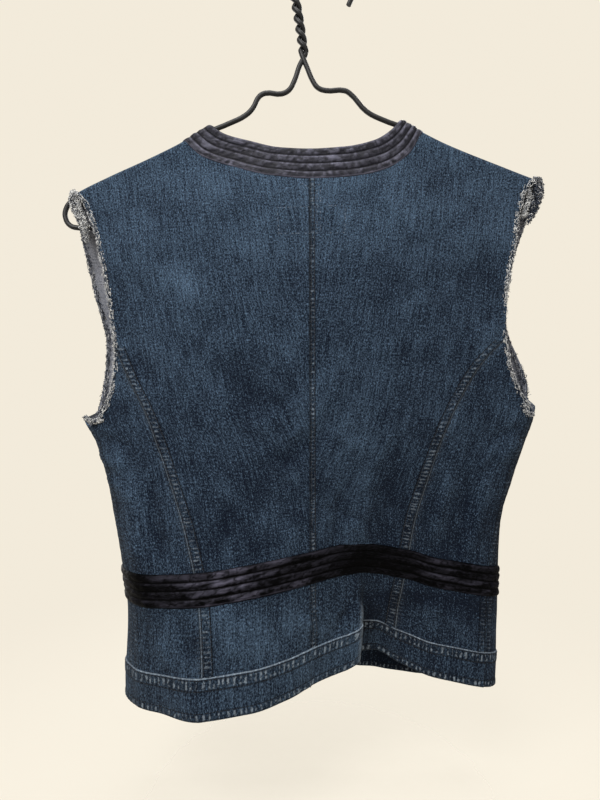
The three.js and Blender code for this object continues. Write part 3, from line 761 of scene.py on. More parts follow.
class Maker:
    """Adds the nodes of one material."""

    def __init__(self, name: str) -> None:
        """Starts a material with one surface shader.

        Args:
            name: The material's name.
        """
        self.material = bpy.data.materials.new(name)
        self.material.use_nodes = True
        self.tree = self.material.node_tree
        self.tree.nodes.clear()
        self.shader = self.add("ShaderNodeBsdfPrincipled", {}, {})
        self.output = self.add("ShaderNodeOutputMaterial", {}, {"Surface": self.shader.outputs[0]})

    def add(self, kind: str, settings: dict[str, Any], inputs: dict[Any, Any]) -> Any:
        """Adds a node.

        Args:
            kind: The node's type.
            settings: What the node itself is set to; stops are a ramp's places and colours.
            inputs: What each input socket is given: a value, or the output that feeds it.

        Returns:
            The node.
        """
        node = self.tree.nodes.new(kind)
        for key, value in settings.items():
            if key != "stops":
                setattr(node, key, value)
                continue
            elements = node.color_ramp.elements
            while len(elements) < len(value):
                elements.new(1.0)
            for element, (position, colour) in zip(elements, value):
                element.position = position
                element.color = colour
        for key, value in inputs.items():
            self.feed(node.inputs[key], value)
        return node

    def feed(self, socket: Any, value: Any) -> None:
        """Gives an input socket a value, or links what feeds it.

        Args:
            socket: The socket.
            value: The value, or an output.
        """
        if isinstance(value, Value):
            self.tree.links.new(value.socket, socket)
        elif isinstance(value, bpy.types.NodeSocket):
            self.tree.links.new(value, socket)
        else:
            socket.default_value = value

    def set(self, **inputs: Any) -> None:
        """Gives the shader's own sockets their values or links, named with _ for a space."""
        for key, value in inputs.items():
            self.feed(self.shader.inputs[key.replace("_", " ")], value)

    def cloth_plane(self, across: float, up: float) -> Any:
        """The piece's own flat cut, scaled to so many units a metre."""
        uv = self.add("ShaderNodeUVMap", {"uv_map": FLAT_CUT}, {}).outputs[0]
        return self.add("ShaderNodeMapping", {}, {"Vector": uv, "Scale": (across, up, 1.0)}).outputs[0]

    def object_space(self) -> Any:
        """The object's own space, in metres."""
        return self.add("ShaderNodeTexCoord", {}, {}).outputs["Object"]

    def noise(self, vector: Any, scale: float, detail: float = 2.0, rough: float = 0.5) -> Value:
        """Fractal noise from 0 to 1.

        Args:
            vector: Where it is read.
            scale: How fine it is.
            detail: Its layers.
            rough: Their weight.

        Returns:
            The noise.
        """
        node = self.add(
            "ShaderNodeTexNoise", {"noise_dimensions": "3D"},
            {"Vector": vector, "Scale": scale, "Detail": detail, "Roughness": rough},
        )
        return Value(self, node.outputs[0])

    def mark(self, name: str) -> Value:
        """A number that the piece's mesh carries at each point."""
        node = self.add("ShaderNodeAttribute", {"attribute_name": name}, {})
        return Value(self, node.outputs["Fac"])

    def blend(self, share: Any, first: Any, second: Any) -> Any:
        """A colour that lies a share of the way from first to second.

        Args:
            share: The share.
            first: A colour.
            second: A colour.

        Returns:
            The output.
        """
        node = self.add("ShaderNodeMix", {"data_type": "RGBA", "clamp_factor": True}, {0: share})
        self.feed(node.inputs[6], first)
        self.feed(node.inputs[7], second)
        return node.outputs[2]

    def bump(self, height: Value, distance: float, strength: float = 1.0) -> None:
        """Feeds the shader's normal from a height in units of distance.

        Args:
            height: The height.
            distance: Its unit in metres.
            strength: How much it shows.
        """
        node = self.add(
            "ShaderNodeBump", {}, {"Height": height, "Distance": distance, "Strength": strength}
        )
        self.set(Normal=node.outputs[0])


def tone(red: int, green: int, blue: int) -> tuple[float, float, float, float]:
    """A colour given as screen values from 0 to 255, in the renderer's own light values."""
    linear = [((v / 255 + 0.055) / 1.055) ** 2.4 if v > 10 else v / 255 / 12.92 for v in (red, green, blue)]
    return (*linear, 1.0)


@dataclass(frozen=True)
class Denim:
    """Worn blue twill: streaked yarns, salt and pepper, seams that are rubbed and painted with shade, and
    painted light and shade from the mesh's marks.
    """

    name: str
    dark: Tone = (10, 20, 36)
    light: Tone = (114, 142, 172)
    # This colour is for real wear, and also for the low fold's painted highlight
    rubbed_and_lit: Tone = (186, 200, 214)
    shaded: Tone = (5, 8, 16)
    level: float = 0.12
    # How fine the streaks, the yarns and the salt and pepper are, across and along, a metre
    slub: Pair = (640.0, 36.0)
    yarn: Pair = (1150.0, 400.0)
    pepper: Pair = (980.0, 640.0)
    twill: Pair = (5200.0, 3600.0)

    def seam(self, make: Maker, mark: str, bars: Value, stitches: Value) -> tuple[Value, Value]:
        """What a topstitched strip rubs and shades.

        Args:
            make: The material's maker.
            mark: Names the mesh's numbers: strip_ runs from 0 at the seam to 1 at the outer row of
                stitches, and edge_ says how bright the rubbed seam line is.
            bars: The puckers across the strip, 1 on their crests.
            stitches: 1 where a stitch of a row lies, and 0 between two.

        Returns:
            How far each place is rubbed, and how far it is shaded.
        """
        at = make.mark(f"strip_{mark}")
        on = at.between(0.14, 0.36) * (1 - at.between(0.72, 0.95))
        crest = at.between(0.0, 0.04) * (1 - at.between(0.07, 0.13))
        near_row = at.between(0.1, 0.15) * (1 - at.between(0.2, 0.27))
        far_row = at.between(0.88, 0.96) * (1 - at.between(1.02, 1.12))
        rub = on * bars * make.mark("worn") * 0.38 + crest * (0.6 + bars * 0.4) * make.mark(f"edge_{mark}")
        shade = on * (1 - bars) * 0.35 + (near_row + far_row) * 0.9 * (0.5 + stitches * 0.5)
        return rub, shade

    def build(self) -> Any:
        """Makes the material.

        Returns:
            The material.
        """
        make = Maker(self.name)
        plane = make.cloth_plane(1.0, 1.0)
        slub = make.noise(make.cloth_plane(*self.slub), 1.0, 3.0, 0.7)
        yarn = make.noise(make.cloth_plane(*self.yarn), 1.0, 2.0, 0.7)
        pepper = make.noise(make.cloth_plane(*self.pepper), 1.0, 3.0, 0.85)
        cloud = make.noise(plane, 34.0, 3.0, 0.6)
        patch = make.noise(plane, 9.0, 2.0, 0.5)
        share = self.level + (slub - 0.5) * 0.9 + (yarn - 0.5) * 1.0 + (pepper - 0.5) * 2.3
        share += (pepper * 0.55 + yarn * 0.45).between(0.57, 0.68) * 0.4
        # The mesh's tone mark adds painted light and shade to the cloth's own uneven tone
        share += (cloud - 0.5) * 0.42 + (patch - 0.5) * 0.3 + make.mark("fade")
        colour = make.blend(share, tone(*self.dark), tone(*self.light))
        turn = make.mark("run") * (2 * math.pi)
        uneven = make.noise(plane, 240.0, 2.0, 0.6)
        bars = (turn.sine() * 0.8 + (pepper - 0.5) * 2.4 + (uneven - 0.5) * 5.5).between(0.1, 1.2)
        stitches = (turn * 1.27).sine().between(-0.6, 0.0)
        rub, shade = self.seam(make, "a", bars, stitches)
        rub_b, shade_b = self.seam(make, "b", bars, stitches)
        shade += shade_b + make.mark("shade")
        colour = make.blend(shade * (0.55 + pepper * 0.7), colour, tone(*self.shaded))
        # Real wear, together with the low fold's painted highlight that the mesh's mark carries
        rub = (rub + rub_b + make.mark("wear")) * (0.1 + pepper * 1.5) * (0.5 + slub * 0.9)
        colour = make.blend(rub, colour, tone(*self.rubbed_and_lit))
        make.set(Base_Color=colour, Roughness=0.88, Sheen_Weight=0.03, Sheen_Roughness=0.5)
        make.set(Specular_IOR_Level=0.12)
        split = make.add("ShaderNodeSeparateXYZ", {}, {0: plane})
        u, v = Value(make, split.outputs[0]), Value(make, split.outputs[1])
        twill = (u * self.twill[0] + v * self.twill[1]).sine()
        relief = twill * 0.16 + slub * 1.1 + yarn * 0.8 + pepper * 1.6 + cloud * 0.8
        make.bump(relief + bars * 0.5, 0.0006, 0.8)
        return make.material


@dataclass(frozen=True)
class Satin:
    """Dark satin with puckers across its channels and a painted soft gloss along their crests."""

    name: str
    dark: Tone
    # light is the colour of the painted highlights
    light: Tone
    rough: float = 0.4
    gloss: float = 0.35
    plain: float = 0.12

    def build(self) -> Any:
        """Makes the material.

        Returns:
            The material.
        """
        make = Maker(self.name)
        fine = make.noise(make.cloth_plane(300.0, 1500.0), 1.0, 2.0, 0.6)
        streak = make.noise(make.cloth_plane(75.0, 420.0), 1.0, 4.0, 0.65)
        cloud = make.noise(make.cloth_plane(30.0, 60.0), 1.0, 3.0, 0.6)
        # Painted highlight: where the mesh marks the satin, it goes in streaks towards the light colour;
        # painted shade darkens it below
        share = make.mark("wear") * (streak.between(0.36, 0.62) * 0.6 + 0.5) + self.plain
        share += (fine - 0.5) * 0.16 + (cloud - 0.5) * 0.16
        share = share * (1 - make.mark("shade"))
        colour = make.blend(share, tone(*self.dark), tone(*self.light))
        make.set(Base_Color=colour, Roughness=self.rough + (cloud - 0.5) * 0.16)
        make.set(Specular_IOR_Level=self.gloss)
        make.bump(streak * 1.5 + fine * 0.25, 0.0009, 0.8)
        return make.material


@dataclass(frozen=True)
class Thread:
    """Twisted cotton thread."""

    name: str
    dark: Tone
    light: Tone

    def build(self) -> Any:
        """Makes the material.

        Returns:
            The material.
        """
        make = Maker(self.name)
        place = make.object_space()
        speck = make.noise(place, 420.0, 3.0, 0.7)
        colour = make.blend(speck.between(0.34, 0.66), tone(*self.dark), tone(*self.light))
        make.set(Base_Color=colour, Roughness=0.9, Sheen_Weight=0.2, Specular_IOR_Level=0.2)
        make.bump(make.noise(place, 2600.0, 2.0, 0.6), 0.0002, 0.6)
        return make.material


@dataclass(frozen=True)
class CoatedWire:
    """Black plastic coating with small scuffs."""

    name: str

    def build(self) -> Any:
        """Makes the material.

        Returns:
            The material.
        """
        make = Maker(self.name)
        place = make.object_space()
        scuff = make.noise(place, 120.0, 4.0, 0.6)
        grain = make.noise(place, 1400.0, 2.0, 0.6)
        colour = make.blend(scuff.between(0.5, 0.75), tone(18, 18, 20), tone(40, 40, 42))
        make.set(Base_Color=colour, Roughness=0.36 + scuff * 0.22, Specular_IOR_Level=0.5)
        make.bump(scuff * 0.7 + grain * 0.3, 0.0002, 0.5)
        return make.material


@dataclass(frozen=True)
class TackMetal:
    """Aged button metal, darker and rougher where it is stained."""

    name: str

    def build(self) -> Any:
        """Makes the material.

        Returns:
            The material.
        """
        make = Maker(self.name)
        place = make.object_space()
        stain = make.noise(place, 260.0, 4.0, 0.65)
        grain = make.noise(place, 1900.0, 2.0, 0.5)
        colour = make.blend(stain.between(0.35, 0.7), tone(150, 142, 130), tone(74, 66, 58))
        make.set(Base_Color=colour, Metallic=1.0, Roughness=0.28 + stain * 0.3)
        make.bump(stain * 0.6 + grain * 0.4, 0.00015, 0.6)
        return make.material


class Finishes:
    """The materials of the vest and its hanger, made once."""

    def __init__(self) -> None:
        """Builds them all."""
        self.denim = Denim("denim").build()
        self.wrong_side = Denim(
            "denim_wrong_side", dark=(96, 102, 116), light=(188, 190, 200), rubbed_and_lit=(220, 222, 228),
            shaded=(40, 46, 60), level=0.5,
        ).build()
        # A darker copy of the denim: painted shade on the inside of the front hem bands
        self.shaded_hem_inside = Denim("denim_hem_inside_painted_shade", level=-0.14).build()
        self.neck_satin = Satin("neck_satin", dark=(8, 8, 17), light=(128, 128, 148), rough=0.45, gloss=0.14,
            plain=0.07).build()
        self.waist_satin = Satin("waist_satin", dark=(2, 2, 3), light=(128, 126, 148), gloss=0.04,
            plain=0.0).build()
        self.dark_thread = Thread("dark_thread", (6, 9, 16), (26, 33, 46)).build()
        self.worn_thread = Thread("worn_thread", (84, 94, 108), (140, 150, 164)).build()
        self.pale_thread = Thread("frayed_cotton", (130, 134, 142), (246, 246, 244)).build()
        self.fray_dark = Thread("frayed_indigo", (10, 14, 24), (64, 74, 94)).build()
        self.wire = CoatedWire("black_coating").build()
        self.metal = TackMetal("button_metal").build()


# How far the camera stands from the hanger, in millimetres, and its lens and middle, in picture points
EYE_DISTANCE = 502.0
FOCAL = 578.0
PICTURE_MIDDLE = (300.0, 400.0)


def seen(points: Array) -> Arrays:
    """Where chart points show in the picture, across and down, from the camera's own place.

    Args:
        points: Chart points.

    Returns:
        The places across, and down.
    """
    deep = EYE_DISTANCE + points[..., 1]
    across = PICTURE_MIDDLE[0] + FOCAL * (points[..., 0] + SEAT_X) / deep
    return across, PICTURE_MIDDLE[1] - FOCAL * (points[..., 2] + SEAT_Z) / deep


def unseen(across: float, down: float, deep: float) -> Array:
    """The chart point at a depth that shows at a place of the picture."""
    x, z = (across - PICTURE_MIDDLE[0]) / FOCAL, (PICTURE_MIDDLE[1] - down) / FOCAL
    return np.array([x * (EYE_DISTANCE + deep) - SEAT_X, deep, z * (EYE_DISTANCE + deep) - SEAT_Z])


def finished(shape: Any, name: str) -> Any:
    """Turns a draft shape into a mesh, and frees it.

    Args:
        shape: The draft.
        name: The mesh's name.

    Returns:
        The mesh.
    """
    mesh = bpy.data.meshes.new(name)
    shape.to_mesh(mesh)
    shape.free()
    return mesh


def grid_mesh(name: str, columns: int, rows: int) -> tuple[Any, Array, Array]:
    """A flat grid mesh.

    Args:
        name: The mesh's name.
        columns: Cells across.
        rows: Cells up.

    Returns:
        The mesh, and each point's column and row.
    """
    shape = bmesh.new()
    bmesh.ops.create_grid(shape, x_segments=columns, y_segments=rows, size=0.5)
    mesh = finished(shape, name)
    flat = np.empty(len(mesh.vertices) * 3)
    mesh.vertices.foreach_get("co", flat)
    flat = flat.reshape(-1, 3) + 0.5
    return mesh, np.rint(flat[:, 0] * columns).astype(int), np.rint(flat[:, 1] * rows).astype(int)


def add_object(name: str, mesh: Any, finishes: list[Any]) -> Any:
    """Puts a smooth mesh into the scene with its materials.

    Args:
        name: The object's name.
        mesh: Its mesh.
        finishes: Its materials.

    Returns:
        The object.
    """
    for material in finishes:
        mesh.materials.append(material)
    mesh.polygons.foreach_set("use_smooth", [True] * len(mesh.polygons))
    piece = bpy.data.objects.new(name, mesh)
    bpy.context.scene.collection.objects.link(piece)
    return piece


def write_uv(mesh: Any, across: Array, up: Array) -> None:
    """Gives a mesh its flat cut as a UV map in metres.

    Args:
        mesh: The mesh.
        across: Each point's place across the cut.
        up: And up.
    """
    corners = np.empty(len(mesh.loops), int)
    mesh.loops.foreach_get("vertex_index", corners)
    layer = mesh.uv_layers.new(name=FLAT_CUT)
    layer.data.foreach_set("uv", (np.stack([across, up], axis=-1)[corners] * MM).ravel())


def write_marks(mesh: Any, marks: Marks) -> None:
    """Gives a mesh's points their numbers for the materials."""
    for name, values in marks.items():
        mesh.attributes.new(name, "FLOAT", "POINT").data.foreach_set("value", np.float32(values).ravel())


def lay_cloth(
    name: str, columns: Array, rows: Array, place: Callable[[Array, Array], Spots],
    finish: Callable[[Spots, Array, Array], Relief],
    wall: float, finishes: list[Any], sheet: Sheet = Sheet.PANEL,
) -> Any:
    """Lays a shell of cloth on the form.

    Args:
        name: The piece's name.
        columns: Shares across, one for each column of points.
        rows: Shares up, one for each row.
        place: Gives the places at shares across and up.
        finish: Gives how far each place is raised off the form, and its numbers for the materials.
        wall: The cloth's thickness.
        finishes: The outer side's material, then the inner side's.
        sheet: How it is laid; a band's flat cut is measured along its columns.

    Returns:
        The object.
    """
    mesh, i, j = grid_mesh(name, len(columns) - 1, len(rows) - 1)
    s, t = columns[i], rows[j]
    at = place(s, t)
    raised, marks = finish(at, s, t)
    points = FORM.moved(at, raised)
    mesh.vertices.foreach_set("co", (points * MM).ravel())
    normals = np.empty(len(mesh.polygons) * 3)
    mesh.polygons.foreach_get("normal", normals)
    first = np.array([face.vertices[0] for face in mesh.polygons])
    if np.sum(FORM.outward(at)[first] * normals.reshape(-1, 3)) < 0:
        mesh.flip_normals()
    if sheet is Sheet.BAND:
        middle = np.zeros((len(columns), 3))
        chosen = j == len(rows) // 2
        middle[i[chosen]] = points[chosen]
        along = np.concatenate([[0.0], np.cumsum(np.linalg.norm(np.diff(middle, axis=0), axis=1))])
        write_uv(mesh, along[i], t * BELT_WIDTH)
    else:
        write_uv(mesh, at.side * at.around, at.height)
    write_marks(mesh, marks)
    piece = add_object(name, mesh, finishes)
    solid = piece.modifiers.new("wall", "SOLIDIFY")
    solid.thickness = wall * MM
    solid.offset = sheet.value
    solid.use_rim = True
    solid.material_offset = len(finishes) - 1
    solid.material_offset_rim = 0
    return piece


@dataclass(frozen=True)
class Crease:
    """A soft trough or ridge of the hung cloth, placed where it shows in the picture."""

    x0: float
    y0: float
    x1: float
    y1: float
    width: float
    rise: float
    lean: float = 1.0

    def at(self, x: Array, y: Array) -> Array:
        """How far the crease raises the cloth, which is uneven on its two sides and fades at its ends.

        Args:
            x: The picture's places across.
            y: And down.

        Returns:
            The rise.
        """
        along = np.array([self.x1 - self.x0, self.y1 - self.y0])
        size = math.hypot(*along)
        along = along / size
        t = ((x - self.x0) * along[0] + (y - self.y0) * along[1]) / size
        off = (y - self.y0) * along[0] - (x - self.x0) * along[1]
        bend = off + 0.1 * self.width * np.sin(3.1 * t * size / self.width + self.x0)
        width = self.width * np.where(bend < 0, self.lean, 1.0)
        return self.rise * np.exp(-((bend / width) ** 2)) * ease(t / 0.3 + 0.3) * ease((1 - t) / 0.3 + 0.3)


# Creases as rows: the picture points that they run between, their half width in the picture, how far
# they rise in millimetres, and how much wider they are on one side
BACK_CREASES = tuple(Crease(*row) for row in (
    (262, 418, 286, 458, 4, 0.5, 1.5), (279, 398, 301, 448, 4, -0.45, 0.7),
    (252, 448, 300, 484, 5, 0.5, 1.4), (262, 392, 276, 430, 3.5, 0.4, 1.5),
    (324, 468, 352, 502, 4, 0.45, 1.5), (322, 506, 372, 524, 5, -0.45, 0.7),
    (328, 428, 366, 452, 4, 0.4, 1.4), (372, 470, 392, 430, 4.5, 0.45, 0.7),
    (424, 520, 440, 566, 4, -0.5, 1.4), (452, 508, 474, 560, 4.5, 0.5, 1.5),
    (478, 470, 494, 446, 3.5, 0.5, 0.7), (150, 520, 176, 566, 4.5, -0.45, 1.4),
    (112, 512, 140, 560, 4, 0.45, 1.5), (172, 452, 190, 520, 5, 0.4, 0.7),
    (206, 520, 232, 562, 5, 0.4, 1.5), (240, 520, 262, 560, 4.5, -0.4, 0.7),
    (376, 596, 400, 640, 5, 0.6, 1.5), (366, 604, 380, 640, 4, -0.6, 0.7),
    (432, 600, 470, 640, 5, 0.5, 1.5), (144, 612, 150, 668, 4, -0.5, 1.5),
    (160, 640, 172, 672, 4, 0.5, 0.7), (232, 622, 262, 652, 4.5, 0.4, 1.5),
    (312, 606, 346, 632, 4.5, 0.5, 1.4), (130, 372, 168, 432, 5, 0.4, 1.5),
    (462, 352, 486, 322, 4.5, 0.5, 0.7), (318, 200, 352, 226, 4.5, 0.35, 1.5),
    (262, 196, 300, 188, 4, 0.35, 0.7), (380, 196, 430, 240, 7, 0.4, 1.5),
    (292, 450, 330, 380, 12, 0.9, 1.6), (270, 470, 340, 420, 9, -0.8, 1.4),
    (250, 430, 305, 400, 10, 0.7, 0.7), (210, 360, 290, 420, 16, -0.9, 1.3),
    (330, 560, 345, 480, 10, -0.9, 0.6), (352, 560, 372, 470, 8, 0.9, 1.5),
    (380, 560, 400, 440, 12, -0.8, 1.3), (430, 545, 452, 470, 7, 0.9, 0.7),
    (455, 560, 470, 480, 6, -0.8, 1.5), (472, 550, 488, 470, 6, 0.7, 0.8),
    (140, 570, 132, 470, 9, 0.9, 1.4), (160, 560, 150, 480, 7, -0.7, 0.8),
    (96, 452, 124, 470, 6, 0.9, 1.2), (100, 436, 130, 448, 5, -0.8, 1.2),
    (104, 474, 135, 500, 6, 0.7, 0.8), (520, 440, 495, 462, 6, 0.8, 1.3),
    (524, 425, 490, 440, 5, -0.7, 0.9), (122, 330, 150, 380, 8, -0.8, 1.5),
    (520, 300, 470, 360, 10, 0.8, 1.4), (500, 250, 430, 300, 18, -0.9, 1.2),
    (130, 240, 210, 310, 20, 0.9, 0.8), (180, 620, 190, 660, 8, -0.7, 1.3),
    (225, 600, 232, 660, 10, 0.8, 0.8), (270, 600, 285, 655, 7, -0.7, 1.4),
    (300, 618, 330, 640, 5, 0.9, 1.2), (330, 640, 352, 602, 7, -1.0, 0.7),
    (400, 600, 405, 640, 6, -0.7, 1.4), (430, 600, 440, 650, 7, 0.8, 0.8),
    (352, 520, 372, 552, 5, 0.9, 1.2), (215, 560, 230, 500, 14, -0.8, 0.8),
    (290, 440, 302, 424, 4, 0.8, 1.0), (282, 556, 300, 520, 7, 0.6, 1.3),
))
FRONT_CREASES = tuple(Crease(*row) for row in (
    (150, 330, 210, 400, 16, 0.9, 1.4), (120, 440, 180, 480, 8, -0.8, 1.3),
    (180, 560, 200, 470, 10, 0.9, 0.7), (230, 560, 240, 460, 12, -0.8, 1.3),
    (260, 640, 270, 590, 8, 0.8, 1.3), (200, 650, 205, 600, 9, -0.8, 0.8),
    (450, 330, 400, 410, 16, -0.9, 1.3), (500, 440, 440, 480, 9, 0.8, 0.8),
    (420, 560, 400, 470, 11, 0.9, 1.4), (370, 560, 372, 450, 10, -0.8, 0.8),
    (430, 650, 436, 600, 8, 0.8, 1.3), (370, 650, 365, 600, 7, -0.7, 0.8),
))
# How much lighter the cloth is painted down the back than its plain tone: partly its own uneven tone, partly
# painted light that is brightest at the top
LIGHT_AND_TONE_BY_HEIGHT = Curve({160: 0.12, 225: 0.1, 290: 0.01, 420: -0.02, 540: -0.05, 590: -0.02, 625: 0.07, 670: 0.03})


def painted_light_and_tone(x: Array, y: Array) -> Array:
    """How much lighter the cloth is at each place of the picture than its plain tone: its own uneven tone,
    painted light that is brightest at the top, and painted shadows.

    Args:
        x: The picture's places across.
        y: And down.

    Returns:
        How much.
    """
    # Painted shade: darker towards the lower right, with painted shadows in the valley right of the low fold
    # and under the belt
    right = ease((x - 320) / 120) * ease((y - 380) / 120)
    low_right = ease((x - 356) / 14) * ease((y - 585) / 12)
    valley = np.exp(-(((x - 380) / 24) ** 2) - ((y - 608) / 30) ** 2)
    under_belt = low_right * np.exp(-(((y - 588 - 0.16 * (x - 360)) / 9) ** 2))
    return LIGHT_AND_TONE_BY_HEIGHT(y) - 0.07 * right - 0.14 * valley * low_right - 0.05 * low_right - 0.1 * under_belt


def strip(d: Array, width: float) -> Array:
    """A flat raised strip along a seam: 1 on it, and 0 off it."""
    return ease(d / 0.8) * (1 - ease((d - width) / 1.3))


def beside(d: Array, reach: float) -> Array:
    """1 at a seam, and 0 from a distance on."""
    return 1 - ease(d / reach)


def line(d: Array, at: float, width: float) -> Array:
    """A soft line at a distance from a seam."""
    return np.exp(-(((d - at) / width) ** 2))


# The sharp fold low on the back: where it shows, how far it stands out, and how fast it falls off
FOLD_LINE = Curve({596: 362, 625: 360, 657: 358})
FOLD_RISE, FOLD_REACH = 3.4, 17.0


def low_fold(x: Array, y: Array) -> tuple[Array, Array, Array]:
    """The left part's sharp edge over the valley: its height, its painted highlight and its painted shadow.

    Args:
        x: The picture's places across.
        y: And down.

    Returns:
        The three of them.
    """
    started = ease((y - 598) / 14)
    off = FOLD_LINE(y) - x
    left = np.where(off > 0, np.exp(-off / FOLD_REACH), 0.0) * ease((off + 0.6) / 1.6)
    # Painted highlight along the fold's edge, and painted shadow on the cloth beyond it
    lit = started * line(off, 1.2, 1.2) * 0.3
    wrinkle = 0.8 + 0.35 * value_noise(x / 5, y / 7, Seed.FOLD)
    dim = started * np.where(off < 0, np.exp(off / 15.0), 0.0) * 0.85 * wrinkle
    return started * FOLD_RISE * left, lit, dim


# What a topstitched strip's number is where there is no strip
FAR = 3.0


@dataclass
class Sewn:
    """What its seams do to a panel.

    raised says how far they raise it, shade where they darken it and wear where they rub it. first and
    second run over its two topstitched strips, edges says how bright the strips' seam lines are, and
    worn how much of their rubbing is left.
    """

    raised: Array
    shade: Array
    first: Array
    second: Array
    edges: Pair
    wear: Any = 0.0
    worn: float = 1.0


@dataclass
class DenimPanels:
    """The six denim panels, with their seams, puckers and creases."""

    finishes: Finishes
    fine: float = 0.9
    coarse: float = 1.9
    tall_cell: float = 1.3
    hidden: float = 2.4
    wall: float = 1.2
    lap: float = 8.5
    middle_lap: float = 4.4
    side_lap: float = 7.0
    placket: float = 26.0
    pucker_pitch: float = 3.3
    crease_depth: float = 2.1
    # How much light is painted on crease ridges, and shade in their troughs
    crease_painted_light: float = 0.045
    row: float = 1.6
    # How far strips and their puckers stand up, and how far seams and rows of stitches sink
    strip_rise: Pair = (0.45, 0.28)
    middle_rise: Pair = (0.3, 0.2)
    side_rise: Pair = (0.35, 0.25)
    placket_rise: float = 0.4
    row_dip: float = 0.3
    seam_dip: float = 0.5
    centre_dip: float = 0.6

    def middle_seams(self, panel: Panel, z: Array, rim: Array, inner: Array, pucker: Array) -> Sewn:
        """The princess seam, the centre back seam and the armhole's rim of a middle panel.

        Args:
            panel: The panel.
            z: The height of each place.
            rim: Its distance from the panel's rim.
            inner: Its distance from the panel's inner side.
            pucker: The puckers along the seams, from -1 to 1.

        Returns:
            What the seams do.
        """
        corner, right = SEAMS[panel.side].princess_top, panel.side == RIGHT
        below = ease((corner - 1.5 - z) / 3)
        raised = strip(rim, self.lap) * below * (self.strip_rise[0] + self.strip_rise[1] * pucker)
        raised = raised - below * beside(rim, 0.9) * self.seam_dip
        raised = raised - below * self.row_dip * (line(rim, self.row, 0.6) + line(rim, self.lap - 0.3, 0.6))
        middle = strip(inner, self.middle_lap) * (1.0 if right else 0.2)
        raised += middle * (self.middle_rise[0] + self.middle_rise[1] * pucker)
        raised = raised - beside(inner, 0.8) * self.centre_dip
        hole = ease((z - corner - 4) / 6)
        raised += hole * beside(rim, 5) * 0.5 * value_noise(z / 4, rim / 6, Seed.ARMHOLE)
        shade = below * line(rim, self.lap + 1.0, 0.8) * 0.25 + line(inner, 0.0, 0.5) * 0.9
        shade += hole * line(rim, 6.0, 0.6) * 0.35
        first = np.where(z < corner - 1, rim / self.lap, FAR)
        second = inner / self.middle_lap if right else np.full_like(z, FAR)
        return Sewn(raised, shade, first, second, edges=(0.4, 0.12))

    def side_seams(self, rim: Array, inner: Array, pucker: Array) -> Sewn:
        """The side seam and the tucked edge under the princess seam of a side panel.

        Args:
            rim: Each place's distance from the side seam.
            inner: Its distance from the princess seam.
            pucker: The puckers along the seams, from -1 to 1.

        Returns:
            What the seams do.
        """
        near = beside(inner, 6)
        raised = near * 0.18 * pucker - beside(inner - 0.2, 1.8)
        raised += strip(rim, self.side_lap) * (self.side_rise[0] + self.side_rise[1] * pucker)
        raised = raised - beside(rim, 0.9) * self.seam_dip
        return Sewn(
            raised, line(inner, 0.3, 0.9) * 0.95, rim / self.side_lap, np.full_like(rim, FAR),
            edges=(0.06, 0.0), wear=near * np.clip(pucker, 0, 1) * 0.16, worn=0.4,
        )

    def front_seams(self, panel: Panel, z: Array, rim: Array, inner: Array, pucker: Array) -> Sewn:
        """The placket and the side seam of a front.

        Args:
            panel: The panel.
            z: The height of each place.
            rim: Its distance from the side seam.
            inner: Its distance from the front's own edge.
            pucker: The puckers along the seams, from -1 to 1.

        Returns:
            What the seams do.
        """
        below = z < SEAMS[panel.side].underarm
        raised = strip(inner, self.placket) * self.placket_rise + line(inner, 1.5, 1.5) * 0.2 * pucker
        raised += np.where(below, strip(rim, self.side_lap), 0.0) * self.side_rise[1] * pucker
        second = np.where(below, rim / self.side_lap, FAR)
        return Sewn(
            raised, np.zeros_like(z), inner / self.placket, second, edges=(0.6, 0.06), worn=0.5,
        )

    def seam_relief(self, panel: Panel, at: Spots) -> Relief:
        """How far seams, puckers and creases raise a panel, where it is rubbed, and where light and shade
        are painted on it.

        Args:
            panel: The panel.
            at: Places on it.

        Returns:
            How far each place is raised, and its numbers for the denim.
        """
        z, behind = at.height, panel.face < 0
        rim, inner = at.around - panel.rim(z), panel.inner(z) - at.around
        points = FORM.point(at)
        x, y = seen(points)
        quiet = ease((FORM.ridge_top(points[..., 0] + SEAT_X) - z) / 40)
        quiet = quiet * (0.25 + 0.75 * ease((z - panel.low) / 18)) * (1 - 0.8 * line(z, BELT_HEIGHT, 15.0))
        creases = BACK_CREASES if behind else FRONT_CREASES
        creased = sum(crease.at(x, y) for crease in creases) * quiet * self.crease_depth
        run = z / self.pucker_pitch + 0.9 * value_noise(z / 11, np.full_like(z, 3.5), Seed.PUCKER_RUN)
        puff = 0.62 + 0.38 * value_noise(z / 9, at.around / 7, Seed.PUCKER_PUFF)
        pucker = np.sin(2 * math.pi * run) * puff
        if panel.middle:
            sewn = self.middle_seams(panel, z, rim, inner, pucker)
        elif behind:
            sewn = self.side_seams(rim, inner, pucker)
        else:
            sewn = self.front_seams(panel, z, rim, inner, pucker)
        foot = z - panel.low
        rippled = beside(foot, 9) * 0.25 * value_noise(at.around / 2.6, z / 12, Seed.FOOT)
        raised = creased + 0.25 * value_noise(x / 17, y / 21, Seed.DRAPE) * quiet + sewn.raised + rippled
        shade = sewn.shade + beside(foot, 1.4) * 0.6
        edge, lit, dim = low_fold(x, y) if behind else (0.0, 0.0, 0.0)
        # The marks take the low fold's painted highlight and painted shadow, painted light on crease ridges
        # and painted shade in their troughs
        marks = {
            "wear": np.clip(sewn.wear + lit + np.zeros_like(z), 0, 1), "shade": np.clip(shade + dim, 0, 1),
            "fade": painted_light_and_tone(x, y) + self.crease_painted_light * np.clip(creased, -2.5, 2.5),
            "strip_a": np.clip(sewn.first, -2, FAR), "strip_b": np.clip(sewn.second, -2, FAR),
            "run": run, "worn": puff * sewn.worn,
            "edge_a": np.full_like(z, sewn.edges[0]), "edge_b": np.full_like(z, sewn.edges[1]),
        }
        return raised + edge, marks

